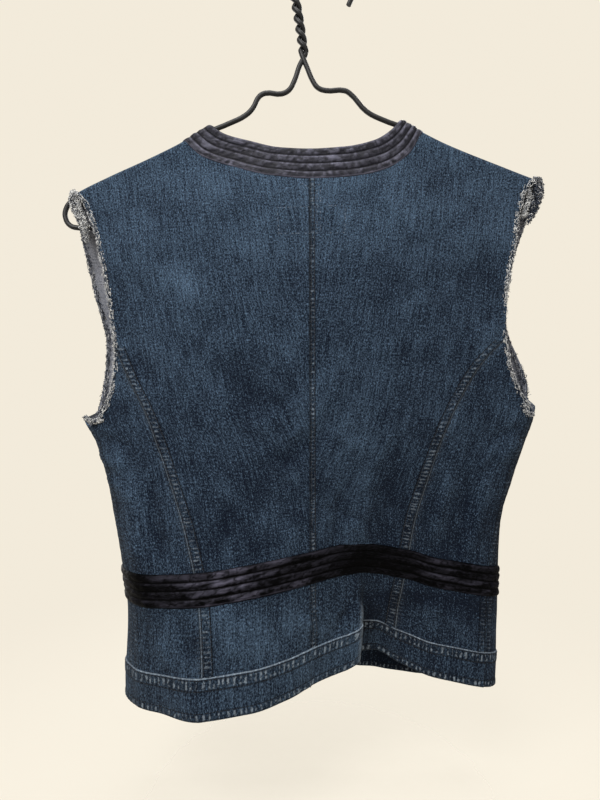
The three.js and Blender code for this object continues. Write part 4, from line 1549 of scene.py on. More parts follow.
    @staticmethod
    def tucked(panel: Panel, s: Array, t: Array) -> Spots:
        """Places on a panel; a side panel runs on under the middle one."""
        under = 0.0 if panel.face == FRONT or panel.middle else UNDER
        return panel.place(s, t).shifted(around=under * s**8)

    def build(self) -> Pieces:
        """Makes the six panels.

        Returns:
            Each panel's object by its name.
        """
        made = {}
        for name, panel in PANELS.items():
            behind = panel.face < 0
            across = max(float(panel.inner(z) - panel.rim(z)) for z in (np.array(panel.low), np.array(0.0)))
            tall = max(panel.rim_high, panel.inner_high) - panel.low
            fine = self.fine if behind else self.hidden * 0.6
            columns = stations(across, fine, self.coarse if behind else self.hidden, 14.0)
            rows = stations(tall, fine, self.tall_cell if behind else self.hidden, 10.0)
            made[name] = lay_cloth(
                f"{name}_cloth", columns, rows, lambda s, t, panel=panel: self.tucked(panel, s, t),
                lambda at, s, t, panel=panel: self.seam_relief(panel, at),
                self.wall, [self.finishes.denim, self.finishes.wrong_side],
            )
        return made

    def dress(self, made: Pieces) -> None:
        """Gives each panel its body, hides the solid that it replaces, and logs the size of its cut.

        Args:
            made: The objects by name.
        """
        for name, piece in made.items():
            panel = PANELS[name]
            s, t = np.meshgrid(np.linspace(0, 1, 81), np.linspace(0, 1, 161))
            at = panel.place(s, t)
            area = float(abs(flat_area(at.around, at.height))) * MM * MM
            width = float(at.around.max() - at.around.min()) * MM
            length = float(at.height.max() - at.height.min()) * MM
            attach(piece, "root")
            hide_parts(name)
            log.info("%s: cut %.0f by %.0f mm", name, width / MM, length / MM)


def flat_area(u: Array, v: Array) -> float:
    """The area of a grid of flat places, by its cells' diagonals.

    Args:
        u: Places one way.
        v: Places the other way.

    Returns:
        The area.
    """
    a, b = u[1:, 1:] - u[:-1, :-1], v[1:, 1:] - v[:-1, :-1]
    c, d = u[1:, :-1] - u[:-1, 1:], v[1:, :-1] - v[:-1, 1:]
    return float(np.abs(a * d - b * c).sum() / 2)


def channels(t: Array, count: int) -> Array:
    """Stitched channels across a band: 1 along their crests, 0 in the rows of stitches."""
    return np.abs(np.sin(math.pi * count * t)) ** 0.55


@dataclass
class SatinBands:
    """The satin neck band in three pieces, and the waist band, all with stitched channels."""

    finishes: Finishes
    count: int = 4
    rise: float = 0.9
    wall: float = 1.5
    neck_out: float = 1.1
    waist_out: float = 1.95
    neck_width: float = 30.0
    cell: float = 1.15
    # How far puckers stand up, and how far edges and cracks sink
    tuck_rise: float = 0.5
    fine_rise: float = 0.2
    edge_dip: float = 0.7
    crack_dip: float = 0.35
    # Where the waist band gets its painted highlights, in picture points: the middle and the reach
    left_gloss: Pair = (235.0, 62.0)
    right_gloss: Pair = (455.0, 32.0)

    def swell(self, u: Array, t: Array, width: float, seed: int, puff: float) -> Relief:
        """The channels with their puckers, and where the satin is painted with highlights and with shade.

        Args:
            u: Distance along the band.
            t: Share across it, 0 at its outer or lower edge.
            width: The band's width.
            seed: Sets the puckers apart from another band's.
            puff: How strong the puckers are.

        Returns:
            How far the band is raised, and its numbers for the materials.
        """
        full = channels(t, self.count)
        lane = np.floor(np.clip(t, 0, 0.999) * self.count)
        phase = np.clip(t, 0, 0.999) * self.count - lane
        slant = 1.6 * value_noise(u / 14 + lane * 5.9, lane * 1.3, seed + 4)
        tuck = value_noise(u / 3.6 + lane * 7.3 + slant * phase, lane * 3.1 + t * 7, seed)
        fine = value_noise(u / 1.7 + lane * 5.1 - slant * phase, lane * 2.7 + t * 11, seed + 1)
        raised = self.rise * (full - 0.5) + puff * full * (self.tuck_rise * tuck + self.fine_rise * fine)
        edge = np.minimum(t, 1 - t) * width
        raised = raised - self.edge_dip * beside(edge, 1.1)
        skew = value_noise(u / 6.5 + lane * 3.7 + 4.5 * t, lane * 1.9 + t * 3, seed + 2)
        crack = np.clip(1 - np.abs(skew + 0.3 * fine) * 5, 0, 1) * full
        gather = np.clip(value_noise(u / 1.5 + lane * 2.3, lane * 4.1, seed + 3), 0, 1)
        sheen = 0.55 + 0.45 * value_noise(u / 21, lane * 0.7, seed + 5)
        # Painted highlight on each channel's upper part and on the puckers' crests, with a slow painted
        # sheen along the band
        lit = line(phase, 0.82, 0.13) * (0.5 + gather)
        lit = (lit + full * np.clip(0.2 + 0.85 * tuck + 0.45 * fine, 0, 1)) * sheen
        raised = raised - self.crack_dip * puff * crack
        # The piping's line is lighter; painted shade falls in the stitched grooves, the cracks and the
        # puckers' troughs
        piping = line(t * width, 1.1, 0.5)
        shade = line(phase, 0.03, 0.07) + line(phase, 0.98, 0.06) + 0.75 * crack
        shade += line(phase, 0.14, 0.12) * gather * 0.8
        shade += 0.3 * full * np.clip(-tuck, 0, 1)
        shade = np.clip(shade, 0, 0.95) * (1 - piping)
        return raised, {"wear": lit * 0.62 + 0.5 * piping, "shade": shade}

    def neck_place(self, face: float, side: float, s: Array, t: Array) -> Spots:
        """Places on the neck band; side is 0 for the band behind, which has both halves.

        Args:
            face: The face.
            side: The half.
            s: Shares across.
            t: Shares up.

        Returns:
            The places.
        """
        if side:
            angle = front_angle(side, s)
            inner, outer = neck_front(side, False, angle), neck_front(side, True, angle)
            half: Any = side
        else:
            inner = (NECK_INNER_X(s), NECK_INNER_Z(s))
            outer = (NECK_OUTER_X(s), NECK_OUTER_Z(s))
            half = np.where(s < 0.5, LEFT, RIGHT)
        x, z = mix(outer[0], inner[0], t), mix(outer[1], inner[1], t)
        z = np.minimum(z, FORM.ridge_top(x) - GAP / 2)
        return spots(half, face, FORM.around(half, x, z), z)

    def waist_place(self, s: Array, t: Array) -> Spots:
        """Places on the waist band; s counts the panels round the body."""
        z = mix(BELT_HEIGHT - BELT_WIDTH / 2, BELT_HEIGHT + BELT_WIDTH / 2, t)
        return round_the_body(s, lambda panel, share, chosen: panel.at_height(share, z[chosen]))

    def build(self) -> Pieces:
        """Makes the four bands.

        Returns:
            The objects by name.
        """
        made = {}
        rows = np.linspace(0, 1, 45)
        necks = (
            ("neck_band_back", BACK, 0.0, 232.0, Seed.NECK_BACK),
            ("neck_band_front_left", FRONT, LEFT, 130.0, Seed.NECK_LEFT),
            ("neck_band_front_right", FRONT, RIGHT, 150.0, Seed.NECK_RIGHT),
        )
        for name, face, side, length, seed in necks:
            made[name] = lay_cloth(
                f"{name}_satin", stations(length, 0.8, self.cell, 8.0), rows,
                lambda s, t, face=face, side=side: self.neck_place(face, side, s, t),
                lambda at, s, t, length=length, seed=seed: self.on_neck(s * length, t, seed),
                self.wall, [self.finishes.neck_satin], Sheet.BAND,
            )
        columns = body_columns(self.cell)
        made["waist_band"] = lay_cloth(
            "waist_band_satin", columns, np.linspace(0, 1, 41), self.waist_place, self.on_waist,
            self.wall, [self.finishes.waist_satin], Sheet.BAND,
        )
        return made

    def on_neck(self, u: Array, t: Array, seed: int) -> Relief:
        """The neck band's channels over the denim's edge."""
        raised, marks = self.swell(u, t, self.neck_width - 1.0, seed, 1.0)
        return raised + self.neck_out, marks

    def on_waist(self, at: Spots, s: Array, t: Array) -> Relief:
        """The waist band's channels, with painted highlights mostly on the back's left.

        Args:
            at: Places on the cloth.
            s: Shares across; not used.
            t: Shares up.

        Returns:
            How far each place is raised, and its numbers.
        """
        along = at.side * at.around + 40.0 * at.face
        raised, marks = self.swell(along, t, BELT_WIDTH, Seed.WAIST, 0.8)
        x, _ = seen(FORM.point(at))
        # Painted highlights, strongest on the back's left and faint on its right, in long streaks brighter
        # on each channel's upper side
        lit = line(x, *self.left_gloss) + line(x, *self.right_gloss) * 0.4
        long_streak = np.clip(0.35 + 0.9 * value_noise(along / 13 + t * 5, t * 8, Seed.WAIST_GLOSS), 0, 1)
        rise = 0.35 + 0.65 * np.clip(t * self.count % 1.0, 0, 1) ** 2
        streaked = long_streak * channels(t, self.count) * rise
        marks["wear"] = (marks["wear"] * 0.35 + 0.75 * streaked) * (0.02 + 1.2 * lit)
        marks["shade"] = np.clip(marks["shade"] * 1.3, 0, 0.95)
        return raised + self.waist_out - 0.9 * np.exp(-((at.around / 7) ** 2)), marks

    def dress(self, made: Pieces) -> None:
        """Gives each band its body, and hides the solid that it replaces.

        Args:
            made: The objects by name.
        """
        for name, piece in made.items():
            if name == "waist_band":
                dress_strip(piece, name)
            else:
                dress_strip(piece, name)


def dress_strip(piece: Any, node: str) -> None:
    """Gives a strip of cloth its body, and hides the solid that it replaces.

    Args:
        piece: The strip.
        node: The solid that it replaces.
    """
    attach(piece, "root")
    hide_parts(node)


def body_columns(cell: float, start: str = "") -> Array:
    """Columns round the body, counted in panels, about a cell apart at the belt.

    Args:
        cell: The distance from column to column.
        start: How the names of the panels that are crossed start.

    Returns:
        The columns: a panel's number, and the share of the way over it.
    """
    parts: list[Array] = []
    for k, (name, _) in enumerate(ROUND_THE_BODY):
        if name.startswith(start):
            belt = np.array(BELT_HEIGHT)
            length = abs(float(PANELS[name].inner(belt) - PANELS[name].rim(belt)))
            steps = max(int(length / cell), 2)
            parts.append((k + np.arange(steps + 1) / steps * (1 - 1e-9))[min(len(parts), 1):])
    return np.concatenate(parts)


def round_the_body(s: Array, place: Callable[[Panel, Array, Array], Spots]) -> Spots:
    """Places on panels that lie one after another round the body.

    Args:
        s: Columns, counted in panels.
        place: Gives a panel's places.

    Returns:
        The places.
    """
    out = [np.zeros_like(s) for _ in range(4)]
    order = np.clip(np.floor(s).astype(int), 0, len(ROUND_THE_BODY) - 1)
    for k, (name, backwards) in enumerate(ROUND_THE_BODY):
        chosen = order == k
        if not chosen.any():
            continue
        share = np.clip(s[chosen] - k, 0, 1)
        at = place(PANELS[name], 1 - share if backwards else share, chosen)
        for target, part in zip(out, (at.side, at.face, at.around, at.height)):
            target[chosen] = part
    return Spots(*out)


@dataclass
class HemBands:
    """The denim hem bands, behind and on the two fronts."""

    finishes: Finishes
    wall: float = 2.2
    out: float = 1.15
    cell: float = 1.1
    pucker_pitch: float = 3.9
    upper_row: float = 9.0
    lower_row: float = 6.0
    # How far puckers, strips, drape and crossing seams stand up, and how far rows and edges sink
    pucker_rise: float = 0.3
    upper_rise: float = 0.35
    lower_rise: float = 0.15
    drape: float = 0.35
    seam_rise: float = 0.5
    row_dip: float = 0.4
    top_dip: float = 0.6
    foot_dip: float = 0.5
    # Where the panels' seams run into the band, in picture points across
    seams_across: tuple[float, ...] = (139.0, 200.0, 307.0, 395.0, 483.0)

    def place(self, s: Array, t: Array) -> Spots:
        """Places on a hem band; s counts the panels round the body, t rises from its lower edge.

        Args:
            s: Shares across.
            t: Shares up.

        Returns:
            The places.
        """
        z = mix(HEM_HEIGHT, HEM_TOP, t)

        def on_panel(panel: Panel, share: Array, chosen: Array) -> Spots:
            """Carries a panel's side lines on below its foot.

            Args:
                panel: The panel.
                share: Shares across it.
                chosen: Which places these are.

            Returns:
                The places.
            """
            foot = panel.place(share, np.zeros_like(share)).around
            drift = foot - panel.place(share, np.full_like(share, 0.02)).around
            return spots(panel.side, panel.face, foot + drift * (1 - t[chosen]), z[chosen])

        return round_the_body(s, on_panel)

    def relief(self, at: Spots, s: Array, t: Array) -> Relief:
        """Rubbed edges, puckers between the rows of stitches, both rows' dents, and painted light and shade.

        Args:
            at: Places on the cloth.
            s: Shares across; not used.
            t: Shares up.

        Returns:
            How far each place is raised, and its numbers.
        """
        up = t * HEM_WIDTH
        down = HEM_WIDTH - up
        along = at.side * at.around + 60.0 * at.face
        run = along / self.pucker_pitch
        run += 0.9 * value_noise(along / 13, np.full_like(along, 1.5), Seed.HEM_RUN)
        puff = 0.66 + 0.34 * value_noise(along / 10, up / 9, Seed.HEM_PUFF)
        pucker = np.sin(2 * math.pi * run) * puff
        upper = ease(down / 1.0) * (1 - ease((down - self.upper_row) / 1.5))
        lower = ease(up / 0.8) * (1 - ease((up - self.lower_row) / 1.5))
        raised = self.out + (upper + lower) * self.pucker_rise * pucker
        raised += self.upper_rise * upper + self.lower_rise * lower
        raised = raised - self.row_dip * (line(down, self.upper_row, 0.7) + line(up, self.lower_row, 0.7))
        raised = raised - self.top_dip * beside(down, 0.9) - self.foot_dip * beside(up, 0.9)
        raised += self.drape * value_noise(along / 15, up / 12, Seed.HEM_DRAPE)
        x, y = seen(FORM.point(at))
        worn = 0.75 + 0.25 * value_noise(along / 12, up / 20, Seed.HEM_WEAR)
        behind = np.where(at.face < 0, 1.0, 0.0)
        for place in self.seams_across:
            raised += self.seam_rise * line(x, place, 3.5) * behind
        edge, lit, dim = low_fold(x, y)
        # Behind, the low fold's painted highlight and painted shadow; the band's tone and painted light
        # follow the panels', a little lighter for its wear
        marks = {
            "wear": np.clip(lit * behind, 0, 1), "shade": np.clip(dim * behind, 0, 1),
            "fade": painted_light_and_tone(x, y) + 0.05, "strip_a": down / self.upper_row, "strip_b": up / self.lower_row,
            "run": run, "worn": puff + 0.5, "edge_a": worn * 0.9, "edge_b": np.full_like(up, 0.1),
        }
        return raised + edge * behind, marks

    def build(self) -> Pieces:
        """Makes the three bands.

        Returns:
            The objects by name.
        """
        made = {}
        rows = stations(HEM_WIDTH, 0.6, 1.2, 7.0)
        # The front bands' inner side takes the darker copy, as painted shade
        outer, inner = self.finishes.denim, self.finishes.shaded_hem_inside
        for name, start, sides in (
            ("hem_band_back", "back", [outer]), ("hem_band_front_left", "front_left", [outer, inner]),
            ("hem_band_front_right", "front_right", [outer, inner]),
        ):
            made[name] = lay_cloth(
                f"{name}_cloth", body_columns(self.cell, start), rows, self.place, self.relief,
                self.wall, sides, Sheet.BAND,
            )
        return made

    def dress(self, made: Pieces) -> None:
        """Gives each band its body, and hides the solid that it replaces."""
        for name, piece in made.items():
            dress_strip(piece, name)


def armhole_spot(side: float, share: Array, off: Array) -> Spots:
    """Places beside the armhole's edge, up the back, over the shoulder and down the front.

    Args:
        side: The half.
        share: Shares of the way round.
        off: Distances from the edge.

    Returns:
        The places.
    """
    seams = SEAMS[side]
    behind = share < 0.5
    high, low = float(FORM.ridge_top(seams.shoulder)), seams.underarm + 3
    z = np.where(behind, mix(low, high, share / 0.5), mix(high, low, (share - 0.5) / 0.5))

    def edge(z: Array) -> Array:
        """The armhole's edge behind or in front."""
        return np.where(behind, seams.armhole(z), seams.front_armhole(z))

    slope = (edge(z + 1) - edge(z - 1)) / 2
    size = np.hypot(1, slope)
    x = edge(z) + side * off / size
    height = np.minimum(z - side * off * slope / size, FORM.ridge_top(x) - 0.02)
    return spots(side, np.where(behind, BACK, FRONT), FORM.around(side, x, height), height)


def thread_template(sides: int, cuts: int) -> Any:
    """One thread's mesh, a unit long and a unit thick, cut into lengths so that it can bend.

    Args:
        sides: Its sides.
        cuts: Its lengths.

    Returns:
        The mesh.
    """
    shape = bmesh.new()
    bmesh.ops.create_cone(
        shape, cap_ends=True, cap_tris=True, segments=sides, radius1=1.0, radius2=0.45, depth=1.0
    )
    bmesh.ops.translate(shape, verts=shape.verts, vec=(0, 0, 0.5))
    for k in range(1, cuts):
        bmesh.ops.bisect_plane(
            shape, geom=shape.verts[:] + shape.edges[:] + shape.faces[:],
            plane_co=(0, 0, k / cuts), plane_no=(0, 0, 1),
        )
    return finished(shape, "thread_template")


def copies(name: str, template: Any, count: int) -> tuple[Any, Array]:
    """A mesh of many copies of a small one.

    Args:
        name: The mesh's name.
        template: The small mesh.
        count: How many copies.

    Returns:
        The mesh, and the small mesh's own points.
    """
    shape = bmesh.new()
    for _ in range(count):
        shape.from_mesh(template)
    mesh = finished(shape, name)
    own = np.empty(len(template.vertices) * 3)
    template.vertices.foreach_get("co", own)
    return mesh, own.reshape(-1, 3)


def unit(vectors: Array) -> Array:
    """Vectors of length one."""
    return vectors / np.maximum(np.linalg.norm(vectors, axis=-1, keepdims=True), 1e-9)


def sweep(own: Array, start: Array, bend: Array, end: Array, thick: Array) -> Array:
    """Lays a template's points along curved lines.

    Args:
        own: The template's points, with its length along z from 0 to 1.
        start: Where each line starts.
        bend: The middle control point of each line.
        end: Where each line ends.
        thick: Each line's radius.

    Returns:
        The points of every copy, one after another.
    """
    t = own[None, :, 2:3]
    centre = (1 - t) ** 2 * start[:, None] + 2 * t * (1 - t) * bend[:, None] + t**2 * end[:, None]
    tangent = unit(2 * (1 - t) * (bend - start)[:, None] + 2 * t * (end - bend)[:, None] + 1e-6)
    helper = np.where(np.abs(tangent[..., 1:2]) > 0.9, np.array([1.0, 0, 0]), np.array([0, 1.0, 0]))
    one = unit(np.cross(helper, tangent))
    two = np.cross(tangent, one)
    radius = thick[:, None, None]
    return (centre + radius * (one * own[None, :, 0:1] + two * own[None, :, 1:2])).reshape(-1, 3)


@dataclass
class Fringes:
    """The frayed armholes: a thick roll of short threads, and loose ones that stand off it."""

    finishes: Finishes
    roll: int = 2850
    loose: int = 160
    bunched: int = 420
    middle_behind: float = -1.2
    middle_in_front: float = -2.0
    roll_radius: float = 2.3
    pale_behind: float = 0.8
    pale_in_front: float = 0.22
    scatter: float = 0.6
    bunch_out: float = 2.5
    thickness: Pair = (0.24, 0.46)
    # Bunched places: side, picture points along them, radius in mm and share of pale threads
    bunches: tuple[tuple[float, tuple[Pair, ...], float, float], ...] = (
        (LEFT, ((74, 192), (70, 198), (72, 206), (77, 215)), 3.4, 0.75),
        (LEFT, ((77, 213), (80, 221), (84, 230), (87, 241)), 3.6, 0.8),
        (LEFT, ((77, 197), (78, 205), (82, 214), (88, 229)), 3.0, 0.85),
        (LEFT, ((85, 417), (89, 422), (96, 423), (102, 419)), 2.4, 0.7),
        (RIGHT, ((535, 179), (542, 182), (542, 190), (539, 197)), 3.8, 0.28),
        (RIGHT, ((540, 190), (541, 203), (533, 212), (528, 222)), 3.4, 0.1),
        (RIGHT, ((536, 181), (538, 190), (536, 199), (531, 208)), 3.6, 0.22),
        (RIGHT, ((529, 190), (530, 198), (527, 208), (523, 217)), 3.0, 0.8),
        (RIGHT, ((522, 404), (525, 412), (530, 417), (533, 413)), 2.6, 0.6),
    )

    def bunch(self, dice: Any, path: tuple, radius: float, deep: float) -> tuple[Array, Array, Array]:
        """Short threads rolled up round a line of the picture.

        Args:
            dice: Where the randomness comes from.
            path: Four picture points, the ends and control points of the line.
            radius: The roll's radius.
            deep: How deep in the chart it lies.

        Returns:
            Where each thread starts, bends and ends.
        """
        a, b, c, d = (unseen(x, y, deep) for x, y in path)
        t = dice.uniform(0, 1, (self.bunched, 1))
        centre = (1 - t) ** 3 * a + 3 * t * (1 - t) ** 2 * b + 3 * t * t * (1 - t) * c + t**3 * d
        three = (self.bunched, 3)
        start = unit(dice.normal(0, 1, three)) * radius * dice.uniform(0.6, 1, (self.bunched, 1))
        start = centre + start
        end = centre + unit(dice.normal(0, 1, three)) * radius
        end = mix(start, end, 0.65) + dice.normal(0, 0.5, three)
        return start, (start + end) / 2 + dice.normal(0, 0.8, three), end

    def along_edge(self, dice: Any, side: float) -> tuple[Array, Array, Array, Array]:
        """The roll of threads beside an armhole's edge, and the loose ones that stand off it.

        Args:
            dice: Where the randomness comes from.
            side: The half of the body.

        Returns:
            Where each thread starts, bends and ends, and its chance of being pale.
        """
        count = self.roll + self.loose
        share = dice.uniform(0.006, 0.994, count)
        in_roll = np.arange(count) < self.roll
        turn = dice.uniform(0, 2 * math.pi, count)
        depth = np.where(in_roll, dice.uniform(0.5, 1.0, count), 0.6)
        middle = np.where(share < 0.5, self.middle_behind, self.middle_in_front)
        off = middle + self.roll_radius * depth * np.cos(turn)
        proud = self.roll_radius * depth * np.sin(turn)
        root = FORM.moved(armhole_spot(side, share, off), proud)
        lean = dice.normal(0, 0.005, count)
        reach = np.where(in_roll, dice.uniform(-1.2, 1.2, count), dice.uniform(0.8, 2.4, count))
        away = FORM.moved(
            armhole_spot(side, np.clip(share + lean, 0.004, 0.996), off + reach),
            proud + dice.normal(0, self.scatter, count),
        )
        bend = (root + away) / 2 + dice.normal(0, self.scatter, (count, 3))
        return root, bend, away, np.where(share < 0.5, self.pale_behind, self.pale_in_front)

    def build(self) -> Pieces:
        """Makes both fringes.

        Returns:
            Each fringe's object by its solid's name.
        """
        template = thread_template(3, 3)
        made = {}
        for side, name, seed in (
            (LEFT, "fringe_left", Seed.FRINGE_LEFT), (RIGHT, "fringe_right", Seed.FRINGE_RIGHT),
        ):
            dice = np.random.default_rng(seed)
            *lines, pale_share = self.along_edge(dice, side)
            for half, path, radius, pale in self.bunches:
                if half == side:
                    high = path[0][1] < PICTURE_MIDDLE[1]
                    edge = FORM.point(armhole_spot(side, np.array([0.5 if high else 0.01]), 0.0))
                    bunch = self.bunch(dice, path, radius, float(edge[0, 1]) - self.bunch_out)
                    lines = [np.vstack(pair) for pair in zip(lines, bunch)]
                    pale_share = np.append(pale_share, np.full(self.bunched, pale))
            count = len(pale_share)
            mesh, own = copies(name, template, count)
            points = sweep(own, *lines, dice.uniform(*self.thickness, count))
            mesh.vertices.foreach_set("co", (points * MM).ravel())
            dark = dice.uniform(0, 1, count) >= pale_share
            finishes = [self.finishes.pale_thread, self.finishes.fray_dark]
            made[name] = add_object(f"{name}_threads", mesh, finishes)
            mesh.polygons.foreach_set(
                "material_index", np.repeat(dark.astype(int), len(mesh.polygons) // count)
            )
        bpy.data.meshes.remove(template)
        return made

    def dress(self, made: Pieces) -> None:
        """Gives each fringe its body, and hides the solid that it replaces.

        Args:
            made: The objects by name.
        """
        for name, piece in made.items():
            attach(piece, "root")
            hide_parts(name)


def spots_at(across: Array, down: Array) -> Spots:
    """The places on the back that show at places of the picture.

    Args:
        across: The picture's places across.
        down: And down.

    Returns:
        The places.
    """
    deep: Any = np.full(len(across), -30.0)
    for _ in range(5):
        away = (EYE_DISTANCE + deep) / FOCAL
        x, z = (across - PICTURE_MIDDLE[0]) * away, (PICTURE_MIDDLE[1] - down) * away
        side = np.where(x < FORM.centre, LEFT, RIGHT)
        at = spots(side, BACK, FORM.around(side, x, z), z)
        deep = FORM.point(at)[:, 1]
    return at


@dataclass
class Stitches:
    """Topstitching: dark threads along the seams and the hem, and pale ones left from a patch."""

    finishes: Finishes
    panels: DenimPanels
    hem: HemBands
    pitch: float = 3.05
    length: float = 2.2
    thick: float = 0.32
    proud: float = 0.05
    patch_thick: float = 0.26
    patch_pitch: float = 3.4
    patch_left: float = 0.72
    # Where the patch's rows and the small mark under the neck band show in the picture, end to end
    patch: tuple[tuple[float, float, float, float], ...] = (
        (277, 208, 345, 206), (345, 206, 345, 233), (345, 233, 279, 234), (279, 234, 277, 208),
        (317, 190, 317, 236), (320.5, 190, 320.5, 236), (302, 184, 311, 189), (311, 189, 321, 184),
    )

    def lay(self, name: str, lines: list[Arrays], thick: float, finish: Any) -> Any:
        """Sweeps threads between pairs of chart points.

        Args:
            name: The piece's name.
            lines: Where each row's threads start and end.
            thick: The threads' radius.
            finish: Their material.

        Returns:
            The object.
        """
        start, end = (np.vstack([pair[k] for pair in lines]) for k in (0, 1))
        bend = (start + end) / 2 + self.rise(start)
        template = thread_template(4, 3)
        mesh, own = copies(name, template, len(start))
        points = sweep(own, start, bend, end, np.full(len(start), thick))
        mesh.vertices.foreach_set("co", (points * MM).ravel())
        bpy.data.meshes.remove(template)
        return add_object(name, mesh, [finish])

    def rise(self, start: Array) -> Array:
        """How far a thread's middle stands off the cloth: away from the body's middle."""
        return np.where(start[:, 1:2] < 0, -0.3, 0.3) * np.array([0.0, 1.0, 0.0])

    def on_panel(
        self, panel: Panel, around: Callable[[Array], Array], low: float, high: float,
    ) -> Arrays:
        """A row of threads up a panel.

        Args:
            panel: The panel.
            around: Gives the row's distance from the silhouette at each height.
            low: Where the row starts.
            high: Where it ends.

        Returns:
            Where each thread starts and ends.
        """
        z = np.arange(low, high, self.pitch)
        ends = []
        for height in (z, z + self.length):
            at = spots(panel.side, panel.face, around(height), height)
            raised, _ = self.panels.seam_relief(panel, at)
            ends.append(FORM.moved(at, raised + DENIM / 2 + self.proud))
        return ends[0], ends[1]

    def on_hem(self, t: float) -> Arrays:
        """A row of threads round the hem band at a share of its width.

        Args:
            t: The share of the width.

        Returns:
            Where each thread starts and ends.
        """
        columns = body_columns(self.pitch)
        start, after = columns[:-1], columns[1:]
        inside = np.floor(start) == np.floor(after)
        ends = []
        for share in (start[inside], mix(start, after, self.length / self.pitch)[inside]):
            across = np.full_like(share, t)
            at = self.hem.place(share, across)
            raised, _ = self.hem.relief(at, share, across)
            ends.append(FORM.moved(at, raised + self.proud))
        return ends[0], ends[1]

    def seam_rows(self) -> list[Arrays]:
        """The dark rows along the middle panels' seams and round the hem.

        Returns:
            Where each row's threads start and end.
        """
        rows = []
        low = HEM_TOP + 1.5
        for panel in (panel for panel in PANELS.values() if panel.middle):
            top = SEAMS[panel.side].princess_top - 4
            for off in (self.panels.row, self.panels.lap - 0.4):
                rows.append(self.on_panel(
                    panel, lambda z, off=off, panel=panel: panel.rim(z) + off, low, top,
                ))
            for off in (1.4, self.panels.middle_lap - 0.4) if panel.side == RIGHT else ():
                rows.append(self.on_panel(
                    panel, lambda z, off=off, panel=panel: panel.inner(z) - off, low, panel.inner_high - 3,
                ))
        for up in (HEM_WIDTH - 1.7, HEM_WIDTH - self.hem.upper_row, self.hem.lower_row):
            rows.append(self.on_hem(up / HEM_WIDTH))
        return rows

    def on_back(self, across: Array, down: Array) -> Array:
        """Where threads lie on the back that show at places of the picture.

        Args:
            across: The places, across.
            down: The places, down.

        Returns:
            Chart points just off the middle panels.
        """
        at = spots_at(across, down)
        raised = np.zeros(len(across))
        for panel in (panel for panel in PANELS.values() if panel.middle):
            raised = np.where(at.side == panel.side, self.panels.seam_relief(panel, at)[0], raised)
        return FORM.moved(at, raised + DENIM / 2 + 0.12)

    def patch_rests(self) -> list[Arrays]:
        """The pale threads that are left from a patch, with gaps between them.

        Returns:
            Where each row's threads start and end.
        """
        dice = np.random.default_rng(Seed.PATCH)
        rests = []
        for x0, y0, x1, y1 in self.patch:
            count = int(math.hypot(x1 - x0, y1 - y0) / self.patch_pitch)
            t = (np.arange(count) + dice.uniform(-0.2, 0.2, count)) / count
            t = t[dice.uniform(0, 1, count) < self.patch_left]
            start, end = (self.on_back(mix(x0, x1, k), mix(y0, y1, k)) for k in (t, t + 0.5 / count))
            rests.append((start, end))
        return rests

    def build(self) -> Pieces:
        """Makes the dark rows and the pale rest of the patch.

        Returns:
            The two objects by their names.
        """
        dark, pale = self.finishes.dark_thread, self.finishes.worn_thread
        return {
            "topstitching": self.lay("topstitching", self.seam_rows(), self.thick, dark),
            "patch_thread": self.lay("patch_thread", self.patch_rests(), self.patch_thick, pale),
        }

    def dress(self, made: Pieces) -> None:
        """Gives the threads their body.

        Args:
            made: The objects by name.
        """
        for piece in made.values():
            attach(piece, "root")


@dataclass
class Buttons:
    """Tack buttons down the centre front: a domed head with a rolled rim on a collar."""

    finishes: Finishes
    count: int = 5
    top: float = 112.0
    bottom: float = -190.0
    radius: float = 8.5
    sides: int = 40

    def head(self, name: str) -> Any:
        """Spins one button's outline about its post.

        Args:
            name: The mesh's name.

        Returns:
            The mesh.
        """
        r = self.radius
        outline = [
            (0, 0), (5, 0), (5, 1.2), (r - 0.5, 1.25), (r - 0.1, 1.5), (r, 1.95), (r - 0.25, 2.4),
            (r - 0.9, 2.6), (r - 1.5, 2.45), (r - 1.9, 2.25), (r - 2.6, 2.4), (r - 4.2, 2.95), (2.2, 3.3),
            (1.5, 3.3), (1.1, 3.05), (0, 3.0),
        ]
        shape = bmesh.new()
        corners = [shape.verts.new((x, 0, z)) for x, z in outline]
        edges = [shape.edges.new(pair) for pair in zip(corners, corners[1:])]
        bmesh.ops.spin(
            shape, geom=corners + edges, axis=(0, 0, 1), cent=(0, 0, 0), angle=2 * math.pi,
            steps=self.sides, use_merge=True,
        )
        bmesh.ops.remove_doubles(shape, verts=shape.verts[:], dist=0.001)
        bmesh.ops.recalc_face_normals(shape, faces=shape.faces[:])
        return finished(shape, name)

    def build(self) -> Pieces:
        """Makes the buttons, each on the cloth's own slope.

        Returns:
            The objects by name.
        """
        made = {}
        for k in range(self.count):
            z = mix(self.top, self.bottom, k / (self.count - 1))
            at = spots(RIGHT, FRONT, FORM.around(RIGHT, FORM.centre, z), z)
            normal = Vector(FORM.outward(at))
            place = Vector(FORM.moved(at, DENIM / 2 + GAP + 0.15))
            mesh = self.head(f"button_{k + 1}")
            turn = Vector((0, 0, 1)).rotation_difference(normal).to_matrix()
            for corner in mesh.vertices:
                corner.co = (turn @ corner.co + place) * MM
            made[f"button_{k + 1}"] = add_object(f"button_{k + 1}_head", mesh, [self.finishes.metal])
        return made

    def dress(self, made: Pieces) -> None:
        """Gives each button its body, and hides the solid that it replaces.

        Args:
            made: The objects by name.
        """
        for name, piece in made.items():
            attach(piece, "root")
            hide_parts(name)


